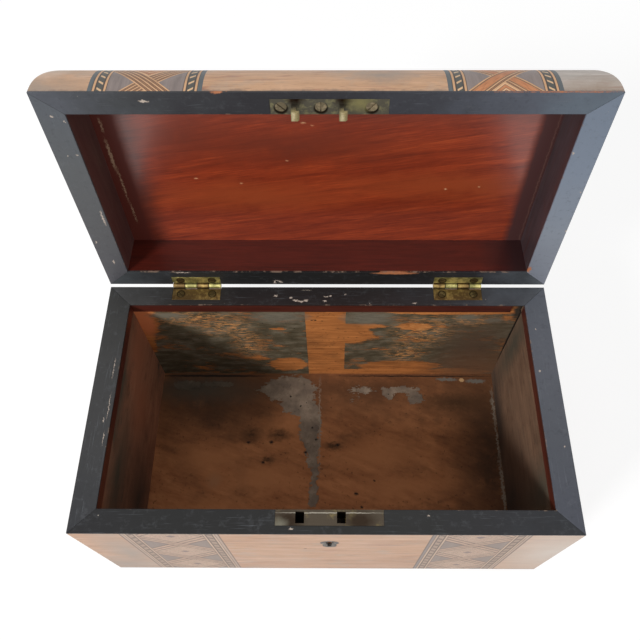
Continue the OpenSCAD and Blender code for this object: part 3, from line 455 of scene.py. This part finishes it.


# Ebonised hardwood: black, with fine scratches, pale chips and a rubbed inner edge. Its grey and blue-grey, paler
# towards the ends of the front and back rims and over the right-hand rims, is painted reflection of the bright room
def ebonised(tree, lid, long, tones, worn, chips, raw=()):
    place = (on_lid if lid else on_case)(tree)
    parts = add(tree, "ShaderNodeSeparateXYZ", {0: place}).outputs
    reach, axis = (HALF_W, 0) if long else (HALF_D, 1)
    reflection_jitter = cloud(tree, place, (26, 26, 26), 2, 4)
    reflection_jitter = add(tree, "ShaderNodeMath", {0: reflection_jitter, 1: 0.3, 2: -0.15}, operation="MULTIPLY_ADD").outputs[0]
    # The tones run along the rim as painted reflection, shifted a little by a soft cloud
    reflection_along = add(tree, "ShaderNodeMapRange", {0: parts[axis], 1: -reach, 2: reach}).outputs[0]
    reflection_along = add(tree, "ShaderNodeMath", {0: reflection_along, 1: reflection_jitter}, operation="ADD").outputs[0]
    stops = [(count / (len(tones) - 1), tone) for count, tone in enumerate(tones)]
    colour = add(tree, "ShaderNodeValToRGB", {0: reflection_along}, [stops[0], stops[-1]] + stops[1:-1]).outputs[0]
    wide = add(tree, "ShaderNodeMath", {0: parts[0]}, operation="ABSOLUTE").outputs[0]
    wide = add(tree, "ShaderNodeMath", {0: wide, 1: IN_X}, operation="SUBTRACT").outputs[0]
    deep = add(tree, "ShaderNodeMath", {0: parts[1]}, operation="ABSOLUTE").outputs[0]
    deep = add(tree, "ShaderNodeMath", {0: deep, 1: IN_Y}, operation="SUBTRACT").outputs[0]
    inner = add(tree, "ShaderNodeMath", {0: wide, 1: deep}, operation="MAXIMUM").outputs[0]
    slope = (HALF_D - IN_Y) / (HALF_W - IN_X)
    mitre = add(tree, "ShaderNodeMath", {0: wide, 1: slope}, operation="MULTIPLY").outputs[0]
    mitre = add(tree, "ShaderNodeMath", {0: mitre, 1: deep, 2: 0.12}, operation="COMPARE").outputs[0]
    rubbed = add(tree, "ShaderNodeMapRange", {0: inner, 1: 0.55, 2: 0.35}).outputs[0]
    lots = patches(tree, place, (9, 9, 9), worn, worn + 0.08, 0.8, 33, 5, 0.7)
    rubbed = add(tree, "ShaderNodeMath", {0: rubbed, 1: lots}, operation="MULTIPLY").outputs[0]
    scratch = (18, 0.5, 5) if long else (0.5, 18, 5)
    colour = layers(tree, colour, (patches(tree, place, (5, 5, 5), 0.55, 0.8, 0.22, 26, 5, 0.75), "#7a7d82"),
                    (patches(tree, place, (4, 4, 4), 0.55, 0.8, 0.5, 37, 5, 0.75), "#141315"),
                    (patches(tree, place, scratch, 0.62, 0.72, 0.35, 6, 3), "#73777d"),
                    (flecks(tree, place, 9, 0.4, 0.3), "#a49c92"), (rubbed, "#8a7565"))
    rim = 0 if lid else RIM_Z
    colour = marked(tree, place, colour, [("#b9aa9d", 0.9, 1.6, 0.3, on_flat(rim, 3, *chips))])
    if raw:
        colour = marked(tree, place, colour, [("#b5744e", (2.5, 0.5, 1), 2.5, 0.3, on_flat(rim, 3, *raw))])
    colour = layers(tree, colour, (mitre, "#17161a"))
    rub = cloud(tree, place, (25, 25, 25), 40)
    rough = add(tree, "ShaderNodeMapRange", {0: rub, 3: 0.34, 4: 0.62}).outputs[0]
    surface(tree, colour, rough, cloud(tree, place, (6, 1.5, 6), 3), 0.04, 0.5, Specular_IOR_Level=0.25)


# Each rim's tones, from one end to the other, are painted reflection: paler grey towards the ends of the front and
# back rims, and blue-grey over the right-hand rims
for piece, tones, worn, chips, *raw in (
        ("case_front", ("#1a1a1c", "#171717", "#161616", "#191917", "#1e1e1e", "#222225", "#272a2e"), 0.6,
         [(-20, -79.6, 1.0, 0.5), (60, -72, 0.8, 0.4)]),
        ("case_back", ("#434343", "#2a2928", "#231f1f", "#231e1e", "#282424", "#36363a", "#52565c"), 0.56,
         [(-35.4, 75.5, 1.5, 0.6), (-24.6, 74, 1.2, 0.5), (-21.5, 72, 1.8, 0.6), (-18, 71.2, 2.2, 0.45),
          (-14.4, 72, 1.4, 0.8), (-0.4, 74.9, 1.6, 0.4), (-1.4, 71.6, 1.0, 0.5), (2.4, 75.6, 0.9, 0.4),
          (12.7, 76.8, 0.7, 0.3), (-14.3, 80, 3.2, 0.2), (60, 70, 1.5, 0.4)]),
        ("case_left", ("#2c2d30", "#353536", "#373737", "#30302f"), 0.57,
         [(-138.4, 21, 0.16, 7), (-137.5, -5, 0.18, 8), (-139.4, -14, 0.2, 1.5), (-137.7, -26, 0.16, 4)]),
        ("case_right", ("#464952", "#4d5057", "#565961", "#545860"), 0.57,
         [(138, 20, 0.4, 0.8), (146, -30, 0.5, 0.6), (140, 50, 0.4, 0.4)]),
        ("lid_front", ("#4e5158", "#3a3c3f", "#28272b", "#2a2a2e", "#36373d", "#4f535d", "#5e6974"), 0.6,
         [(-92.3, -77, 2.6, 0.6)], [(118, -83.2, 34, 0.8), (-54, -83, 3, 1.2)]),
        ("lid_back", ("#414548", "#262627", "#1b1b1b", "#1e1d1d", "#1c1b1b", "#252529", "#54595e"), 0.52,
         [(-98, 69.2, 5, 0.3), (-36.3, 81, 1.2, 0.5), (-34.3, 78.4, 2.4, 0.4), (-32, 79.8, 1.4, 0.6),
          (-36, 79.4, 0.5, 1.2)], [(46, 69.6, 13.5, 1.2)]),
        ("lid_left", ("#53575d", "#555759", "#525254", "#4c4b50"), 0.57,
         [(-142.5, -67, 0.7, 0.5), (-136.8, -63.6, 0.5, 0.5), (-142.6, -39, 0.5, 0.5), (-137.2, -39.6, 0.5, 0.6),
          (-137, 13, 0.5, 6), (-147.6, 36.6, 0.6, 1.2), (-141.6, 57.4, 0.5, 1.8)]),
        ("lid_right", ("#707b8a", "#7b8594", "#858c97", "#7b7f8a"), 0.57,
         [(135.6, -41, 0.4, 1.2), (148.7, -10, 0.5, 0.7), (149.7, 25, 0.6, 0.9)],
         [(135.6, 65.5, 1.2, 3)])):
    wear(f"{piece}_edging", finish(f"ebonised_{piece}_edging", ebonised, piece.startswith("lid"),
                                   piece.endswith(("front", "back")), tones, worn, chips, *raw))


# French-polished mahogany: deep red-brown with fine orange figure under a glossy coat, dull along both ends
def mahogany(tree, place, tones, fibre, figure, coat, marks=(), dull=(), turn=0.0):
    grain = add(tree, "ShaderNodeVectorRotate", {0: place, "Angle": radians(turn)}, rotation_type="Z_AXIS").outputs[0]
    colour, line = timber(tree, grain, fibre, figure, tones, 0.55, 7, 0.9)
    hair, streak = [[value * times for value in fibre] for times in (0.4, 3)]
    colour = layers(tree, colour, (patches(tree, grain, hair, 0.56, 0.72, 0.6, 22, 3), "#3a120a"),
                    (patches(tree, grain, streak, 0.52, 0.72, 0.45, 27, 4, 0.6, 0.6), "#4f1a0d"),
                    (patches(tree, place, (14, 14, 14), 0.58, 0.8, 0.35, 41, 5, 0.7), "#4a1c10"))
    colour = marked(tree, place, colour, marks)
    rub = cloud(tree, place, (40, 25, 25), 17)
    rough = add(tree, "ShaderNodeMapRange", {0: rub, 3: 0.34, 4: 0.52}).outputs[0]
    if dull:
        lost = areas(tree, place, dull, 0.8, 14, 0.25)
        coat = add(tree, "ShaderNodeMapRange", {0: lost, 3: coat, 4: 0.0}).outputs[0]
    surface(tree, colour, rough, line, 0.02, Specular_IOR_Level=0.25, Coat_Weight=coat, Coat_Roughness=0.2,
            Coat_IOR=1.65)


def ceiling(tree):
    # The two dark marks along the ends are painted reflection and shade of the side rails in the polish, and the coat
    # is also taken off there
    ends = on_ceiling((134, 0, 10.5, 900), (-134, 0, 14, 900))
    glue = on_ceiling((-130.2, -36, 0.4, 5), (-130.8, -12, 0.8, 12), (-129.6, 14, 0.45, 14), (-128.8, 40, 0.3, 9))
    specks = on_ceiling((-82, 7.5, 1, 0.5), (-54, 12, 0.8, 0.6), (-24, -8, 0.8, 0.4), (-13, -38, 1.2, 0.6),
                        (97, 15, 0.6, 0.6), (76, 17, 0.8, 0.6), (-8, -36, 0.8, 0.4))
    mahogany(tree, on_lid(tree), [(0.32, "#631e0d"), (0.68, "#b04c24"), (0.45, "#7f2d14"), (0.57, "#96391a")],
             (20, 0.8, 0.8), (70, 7, 7), 1.0,
             [("#6b2a18", 6, 12, 0.95, on_ceiling((-88, -28, 26, 14), (-20, -20, 46, 10), (10, -58, 130, 13))),
              ("#93401f", 6, 12, 0.95, on_ceiling((-50, 24, 44, 10), (80, 14, 50, 8))),
              ("#4a2e2d", 0.8, 14, 0.25, ends[:1]), ("#5e2a22", 0.8, 14, 0.25, ends[1:]),
              ("#644840", 0.7, 3, 0.6, on_ceiling((133.6, 6, 0.3, 70))),
              ("#a88a70", (1.5, 1.5, 0), (0.9, 1.8, 9), 0.4, glue), ("#c4916b", 0.8, 1.0, 0.5, specks)],
             dull=ends, turn=10)


def rails(tree):
    # The dark mark at the right end of the back rail is a painted shadow
    mahogany(tree, on_lid(tree), [(0.3, "#340f0a"), (0.7, "#612014")], (30, 30, 1.2), (60, 60, 8), 0.5,
             [("#2f191a", 2, 10, 0.6, [((136, 70, 14), (20, 30, 90))])])


# Side rails of the lid: their greyed tones are painted sheen of the polish, and the right rail is painted darker than
# the left to offset the lamp that falls on it
def sheen_painted_rails(tree, dark, light):
    mahogany(tree, on_lid(tree), [(0.3, dark), (0.7, light)], (30, 30, 1.2), (60, 60, 8), 0.4)


def lips(tree):
    mahogany(tree, on_case(tree), [(0.3, "#351512"), (0.7, "#602c22")], (30, 30, 1.2), (50, 50, 6), 0.3)


wear("lid_top_board", finish("polished_mahogany_top", ceiling))
wear("lid_front_rail lid_back_rail", finish("polished_mahogany_rail", rails))
wear("lid_left_rail", finish("mahogany_left_rail_painted_sheen", sheen_painted_rails, "#4c3533", "#6d4f4b"))
wear("lid_right_rail", finish("mahogany_right_rail_painted_sheen_and_shade", sheen_painted_rails, "#312a2d", "#4e4347"))
wear("front_lip_strip back_lip_strip left_lip_strip right_lip_strip", finish("polished_mahogany_strip", lips))


# Bare pine: orange-brown, with scraps of an old paper lining still glued on and pale fibres torn up beside them
def old_pine(tree, fibre, tones, stain, paper, level, regions=(), torn=(), shade=(), marks=(), turn=0.0):
    place = on_case(tree)
    grain = add(tree, "ShaderNodeVectorRotate", {0: place, "Angle": radians(turn)}, rotation_type="Z_AXIS").outputs[0]
    colour, line = timber(tree, grain, fibre, [value * 3 for value in fibre], tones, 0.5, 4)
    colour = layers(tree, colour, (patches(tree, place, (26, 20, 18), 0.48, 0.75, stain, 51), "#3a2417"),
                    (patches(tree, place, (2.5, 2.5, 2.5), 0.62, 0.7, stain, 57, 3), "#26160c"))
    colour = marked(tree, place, colour, shade)
    edge = cloud(tree, place, [value * 0.5 for value in fibre], 61, 5, 0.72)
    lots = cloud(tree, place, (38, 38, 16), 66, 3)
    amount = add(tree, "ShaderNodeMix", {0: 0.55, 2: edge, 3: lots}, data_type="FLOAT").outputs[0]
    for weight, ragged, size, spots in regions:
        region = areas(tree, place, spots, ragged, size, 0.4)
        amount = add(tree, "ShaderNodeMath", {0: region, 1: weight, 2: amount}, operation="MULTIPLY_ADD").outputs[0]
    mask = add(tree, "ShaderNodeMapRange", {0: amount, 1: level, 2: level + 0.03}).outputs[0]
    lining = add(tree, "ShaderNodeValToRGB", {0: cloud(tree, place, (12, 12, 5), 71, 5)}, paper).outputs[0]
    lining = layers(tree, lining, (patches(tree, place, (3, 3, 2), 0.56, 0.7, 0.6, 81, 5, 0.75), "#3b3020"),
                    (flecks(tree, place, 6, 0.7, 0.3), "#1e150d"))
    colour = layers(tree, colour, (mask, lining))
    if torn:
        fibres = patches(tree, place, (6, 6, 1.1), 0.53, 0.56, 1.0, 91, 3, 0.6, 0.8)
        region = areas(tree, place, torn, 4, 8, 0.6)
        fibres = add(tree, "ShaderNodeMath", {0: fibres, 1: region}, operation="MULTIPLY").outputs[0]
        colour = layers(tree, colour, (fibres, "#dd9b5c"))
    colour = marked(tree, place, colour, marks)
    height = add(tree, "ShaderNodeMath", {0: line, 1: 0.35, 2: mask}, operation="MULTIPLY_ADD").outputs[0]
    surface(tree, colour, 0.8, height, 0.15, Specular_IOR_Level=0.25)


PAPER = [(0.3, "#453d2c"), (0.7, "#7d7462"), (0.5, "#5d5340")]
END_PAPER = [(0.3, "#453f35"), (0.7, "#77705f"), (0.5, "#5a5245")]
GREY_PAPER = [(0.3, "#60544a"), (0.7, "#978674"), (0.5, "#7a6b5c")]


def back_pine(tree):
    bare = on_back((-131, 104, 8, 22), (-134.5, 74, 4, 24), (-36.2, 85.6, 4.4, 1.6), (-31, 23, 12, 10),
                   (19, 90, 20, 3.6), (16, 80, 14, 8), (14, 69, 11, 5), (50, 5, 46, 8), (88, 112, 38, 3),
                   (58, 20, 26, 8), (62, 90, 10, 4), (104, 10, 22, 5))
    torn = on_back((-98, 102, 28, 8), (-74, 88, 16, 12), (-60, 60, 10, 18), (70, 80, 18, 20), (60, 46, 12, 14),
                   (104, 100, 12, 8))
    # The first mark is bare wood at the upper left corner, painted brighter as painted light to lift the shade there
    marks = [("#d47c4e", (3, 0, 3), 5, 0.3, on_back((-131, 100, 8, 24))),
             ("#1c1009", 0.2, 1, 0.2, on_back((-11, 99.5, 0.9, 0.7), (-8.4, 99.5, 0.9, 0.8), (-9.7, 100, 1, 0.4))),
             ("#7b7363", (4, 0, 1.5), (4, 4, 1.5), 0.4, on_back((30, 103, 17, 9), (100, 104, 8, 4),
                                                                (118, 100, 7, 4), (-34, 104, 18, 8),
                                                                (-112, 106, 12, 4))),
             ("#5a4636", 4, 9, 0.8, on_back((112, 56, 22, 34))), ("#74523a", 4, 9, 0.9, on_back((122, 16, 28, 22))),
             ("#3a3128", 2, 5, 0.5, on_back((134, 112, 4, 10))),
             ("#1a120c", 0.3, 4, 0.3, on_back((134.8, 80, 1.1, 44)))]
    old_pine(tree, (16, 16, 1.3), [(0.3, "#935427"), (0.7, "#dc8e4e")], 0.5, PAPER, 0.42,
             [(-3, 0.3, 4, [((-1.2, IN_Y, 60), (10.4, 900, 900))]), (-0.45, (5, 0, 1.1), (8, 8, 1.6), bare)],
             torn, marks=marks)


def end_pine(tree, tones, dark, grey, *more):
    # The dark marks are painted shade low on each end wall, and the grey ones are scraps of paper
    marks = [("#4d473b", 5, (9, 18, 5), 0.9, grey), ("#3f342d", 4, 12, 0.95, dark), *more,
             ("#b07a52", 0.6, 4, 0.6, [((135, -10, 113.6), (20, 60, 0.9))])]
    old_pine(tree, (16, 16, 1.3), tones, 0.5, END_PAPER, 0.59, marks=marks)


def floor_pine(tree):
    scraps = on_floor((-32, 54, 26, 13), (-24, 44, 16, 14), (-14.5, 28, 9, 24), (-12, 6, 6, 18), (-9.6, -12, 3, 12),
                      (-10.6, -32, 3.6, 9))
    thin = on_floor((25, 54, 13, 4), (22, 47, 5, 8), (62, 54, 20, 3.6), (71, 48, 8, 7), (50, 50, 5, 4),
                    (-114, 58, 18, 5), (-90, 59, 18, 4))
    # The first two shade marks are painted shade, darkening the floor towards the left back, along the right wall and
    # along its back
    shade = [("#3e2a1c", 8, 20, 0.98, on_floor((-96, 44, 50, 24), (128, 0, 24, 80))),
             ("#54351f", 8, 20, 0.98, on_floor((30, 56, 100, 22))),
             ("#9a6a48", 1.5, 4, 0.6, on_floor((-86.4, -20.2, 5, 5))),
             ("#aa7047", 6, (12, 7, 9), 0.98, on_floor((-94, -4, 20, 10), (-34, 21, 16, 9), (-50, -18, 22, 8),
                                                       (40, 0, 26, 10), (58, -24, 26, 7), (-84, -46, 26, 8))),
             ("#452c18", 3, (4, 3, 9), 0.9, on_floor((-60, 16, 7, 5), (-38.5, 16, 7, 3.6), (4, 7, 6, 2.4),
                                                     (-46, -4, 4, 2), (104, 44, 22, 5)))]
    # The first mark is painted shade over the grey paper at the left back
    marks = [("#484035", 4, 9, 0.95, on_floor((-106, 55, 36, 9))),
             ("#1a110b", 0.8, 2, 0.5, on_floor((-30, 48, 0.8, 0.8), (-22, 40, 0.7, 0.7), (-12, 22, 0.7, 0.7),
                                               (-9, 12, 0.8, 0.8), (-17, 2, 1.4, 1.0), (-62, 10, 1.6, 0.9),
                                               (-44, 10, 1.6, 1.2), (-50, -6, 1.2, 0.9), (22, -30, 1.4, 1),
                                               (26, -40, 1.2, 1), (36, -20, 1, 0.8), (8, 8, 1.6, 1.2))),
             ("#85796a", 2.2, 2.5, 0.6, on_floor((133.4, 38, 1.0, 14), (133.6, 12, 0.6, 14), (133.6, -26, 1.1, 24),
                                                 (-6.4, 24, 0.7, 30))),
             ("#6e675e", 1.4, 3, 0.2, on_floor((98, 63.5, 8, 1.4), (121, 62, 8, 1.8))),
             ("#c29a6c", 0.4, 2, 0.2, on_floor((110, 63, 2, 1.6))),
             ("#160d08", 0.4, 6, 0.3, on_floor((-95, 66.2, 44, 0.9), (70, 66.4, 60, 0.5)))]
    old_pine(tree, (14, 4, 9), [(0.3, "#764628"), (0.7, "#b97b4f")], 0.6, GREY_PAPER, 0.76,
             [(0.42, (3.2, 2.6, 1), 4, scraps), (0.34, (3.6, 3, 1), 4, thin)], shade=shade, marks=marks, turn=20)


wear("front_board back_board", finish("old_pine_wall", back_pine))
wear("left_board", finish("old_pine_left_wall", end_pine, [(0.3, "#875843"), (0.7, "#b88364")],
                          [((-135, -42, 34), (40, 34, 34))],
                          [((-135, 20, 110), (40, 60, 9)), ((-135, -40, 90), (40, 40, 16))],
                          ("#9c654a", (0, 9, 2.4), (9, 14, 2.0), 0.8,
                           [((-135, 50, 84), (40, 20, 22)), ((-135, 22, 62), (40, 18, 16))])))
wear("right_board", finish("old_pine_right_wall", end_pine, [(0.3, "#5c4637"), (0.7, "#8a6c55")],
                           [((135, -40, 20), (20, 30, 40)), ((135, 30, 10), (20, 40, 14))],
                           [((135, -52, 96), (20, 14, 40)), ((135, 58, 80), (20, 8, 40))]))
wear("bottom_board", finish("old_pine_floor", floor_pine))


# Rolled brass, lacquer long gone: dull olive-brown tarnish, brighter where it is rubbed
def brass(tree, place, dull, bright, level, marks=()):
    rubbed = patches(tree, place, (7, 7, 7), level, level + 0.16, 1.0, 3, 6, 0.7)
    colour = marked(tree, place, layers(tree, dull, (rubbed, bright)), marks)
    colour = layers(tree, colour, (patches(tree, place, (0.7, 0.7, 0.7), 0.64, 0.74, 0.6, 55, 2), "#2b2118"))
    scratch = cloud(tree, place, (9, 0.3, 0.3), 8, 2)
    rough = add(tree, "ShaderNodeMapRange", {0: scratch, 3: 0.3, 4: 0.6}).outputs[0]
    surface(tree, colour, rough, scratch, 0.02, 0.2, Metallic=0.9)


def lock_brass(tree):
    brass(tree, on_case(tree), "#453d33", "#6d6142", 0.54,
          [("#2c2219", 1, 3, 0.5, on_flat(RIM_Z, 3, (-22, -75, 8, 5), (20, -75, 8, 5))),
           ("#625e52", 1, 3, 0.7, on_flat(RIM_Z, 3, (-27, -77, 4, 3))),
           # The pale line along the inner edge is a painted highlight
           ("#8b8579", 0.3, 2, 0.3, on_flat(RIM_Z, 3, (2.3, -70.4, 30, 0.3)))])


def link_brass(tree):
    rings = [((x, -IN_Y - LINK_SCREW_OUT, 0), (3.7, 3.7, 2)) for x in LINK_SCREW_X]
    brass(tree, on_lid(tree), "#5c584c", "#8d8763", 0.5,
          [("#231c13", 0.1, 2, 0.12, rings),
           # The dark patches beside the hooks are stain with painted shade under the hooks
           ("#2c1c10", 1.2, 3, 0.6, on_flat(0, 3, (-15, -79, 4, 3), (9.6, -79, 4, 3.5))),
           ("#8a8358", 1.0, 3, 0.9, on_flat(0, 3, (18, -76, 5, 4))),
           ("#a5966c", 0.4, 2, 0.4, [((-15, -73, -6.6), (3, 6, 3)), ((9.8, -73, -6.6), (3, 6, 3))]),
           # The near-white spots at the hook tips are painted highlight
           ("#f0e2bb", 0.5, 2, 0.5, [((-16, -73, -9), (1.2, 6, 1.6)), ((8.8, -73, -9), (1.2, 6, 1.6))])])


def screw_brass(tree):
    brass(tree, on_lid(tree), "#756a54", "#b3a180", 0.48)


def hinge_seams(screw_y, z):
    """Dark dirt round the screws of both leaves, and painted shade between the knuckles and along their foot."""
    heads = [((side * HINGE_X + end * HINGE_SCREW_X, screw_y, z), (2.9, 2.9, 2))
             for side in (-1, 1) for end in (-1, 1)]
    gaps = [((side * HINGE_X + step * KNUCKLE_W, 84, z), (0.4, 3.2, 5)) for side in (-1, 1) for step in (-1, 0, 1)]
    foot = [((0, HINGE_FOOT_Y, z), (900, 0.36, 5))]
    return [("#2e2416", 0.1, 2, 0.14, heads), ("#1d160d", 0.1, 3, 0.3, gaps), ("#2a2012", 0.1, 3, 0.3, foot)]


def hinge_brass(tree):
    brass(tree, on_case(tree), "#6b5636", "#ab9259", 0.48, hinge_seams(CASE_SCREW_Y, RIM_Z))


def leaf_brass(tree):
    brass(tree, on_lid(tree), "#8a8554", "#d4c985", 0.44, hinge_seams(LID_SCREW_Y, 0))


def hinge_screw_brass(tree):
    brass(tree, on_case(tree), "#5a4c30", "#8f7f55", 0.5)


wear("lock_plate", finish("tarnished_lock_brass", lock_brass))
wear("link_plate", finish("tarnished_link_brass", link_brass))
wear("link_plate_screws", finish("rubbed_screw_brass", screw_brass))
wear("left_hinge_case_leaf right_hinge_case_leaf left_hinge_pin right_hinge_pin",
     finish("tarnished_hinge_brass", hinge_brass))
wear("left_hinge_lid_leaf right_hinge_lid_leaf", finish("rubbed_hinge_brass", leaf_brass))
wear("case_hinge_screws lid_hinge_screws", finish("dull_hinge_screw_brass", hinge_screw_brass))
wear("lock_screws lock_studs lock_bolt", finish("lock_work_brass", hinge_brass))


# Worn escutcheon: dark grey metal with paler flecks of wax and dirt
def escutcheon(tree):
    place = on_case(tree)
    shade = cloud(tree, place, (2.4, 2.4, 2.4), 5, 5, 0.75)
    tones = [(0.38, "#2b2927"), (0.66, "#8d867c"), (0.5, "#524e49")]
    colour = add(tree, "ShaderNodeValToRGB", {0: shade}, tones).outputs[0]
    surface(tree, colour, 0.55, shade, 0.08, 0.2, Metallic=0.4)


# Dull iron of the nails and the works of the lock
def iron(tree):
    place = on_case(tree)
    shade = cloud(tree, place, (1.5, 1.5, 1.5), 5, 5)
    colour = add(tree, "ShaderNodeValToRGB", {0: shade}, [(0.35, "#1d1a18"), (0.7, "#4a3b30")]).outputs[0]
    surface(tree, colour, 0.6, shade, 0.05, Metallic=0.7)


wear("keyhole_escutcheon", finish("worn_escutcheon_metal", escutcheon))
wear("case_brads lock_case lock_spring lock_key_pin", finish("dull_iron", iron))


# Floor, light and camera

def seen_mask(tree):
    """1 for what the camera sees, also in gloss and through glass."""
    path = add(tree, "ShaderNodeLightPath").outputs
    seen = add(tree, "ShaderNodeMath", {0: path["Is Camera Ray"], 1: path["Is Glossy Ray"]},
               operation="MAXIMUM").outputs[0]
    return add(tree, "ShaderNodeMath", {0: seen, 1: path["Is Transmission Ray"]}, operation="MAXIMUM").outputs[0]


world = bpy.data.worlds.new("plain_white_studio")
world.use_nodes = True
world.node_tree.nodes.clear()
sky = layers(world.node_tree, "#a2a2a2", (seen_mask(world.node_tree), "#ffffff"))
glow = add(world.node_tree, "ShaderNodeBackground", {0: sky})
add(world.node_tree, "ShaderNodeOutputWorld", {0: glow.outputs[0]})
bpy.context.scene.world = world


# Pale paper: shows white, and keeps a faint shadow of the box
def paper_floor(tree):
    seen = seen_mask(tree)
    shine = add(tree, "ShaderNodeMath", {0: seen, 1: 0.8}, operation="MULTIPLY").outputs[0]
    surface(tree, layers(tree, "#d8d8d8", (seen, "#8a8a8a")), 0.9, Specular_IOR_Level=0.0,
            Emission_Color="#ffffff", Emission_Strength=shine)


bpy.ops.mesh.primitive_plane_add(size=6, location=(0, 0, 0))
floor = bpy.context.object
floor.name = "pale_floor"
floor.data.materials.append(finish("pale_paper_floor", paper_floor))


def lamp(name, place, size, watts):
    """A square soft light that looks at the box."""
    light = bpy.data.lights.new(name, "AREA")
    light.size, light.energy = size, watts
    item = bpy.data.objects.new(name, light)
    item.location = place
    item.rotation_euler = (Vector(LAMP_AIM) - Vector(place)).to_track_quat("-Z", "Y").to_euler()
    bpy.context.collection.objects.link(item)


lamp("window_light", (-1.3, -1.2, 1.4), 0.4, 32)
lamp("front_fill", (0.5, -1.6, 1.0), 1.4, 4)
lamp("overhead_panel", (0.1, 0.3, 1.7), 1.6, 6)

camera = bpy.data.objects.new("camera", bpy.data.cameras.new("camera"))
camera.data.lens = 39.67
camera.data.sensor_width = 36
camera.data.shift_x = -0.01247
camera.data.shift_y = -0.04405
pitch, yaw, roll = radians(CAMERA_PITCH), radians(CAMERA_YAW), radians(CAMERA_ROLL)
ahead = Vector((sin(yaw) * cos(pitch), cos(yaw) * cos(pitch), -sin(pitch)))
right = Vector((cos(yaw), -sin(yaw), 0))
up = right.cross(ahead)
right, up = cos(roll) * right + sin(roll) * up, cos(roll) * up - sin(roll) * right
turn = Matrix((right, up, -ahead)).transposed().to_4x4()
camera.matrix_world = Matrix.Translation(CAMERA_AT) @ turn
bpy.context.collection.objects.link(camera)
bpy.context.scene.camera = camera
bpy.context.scene.view_settings.view_transform = "Standard"
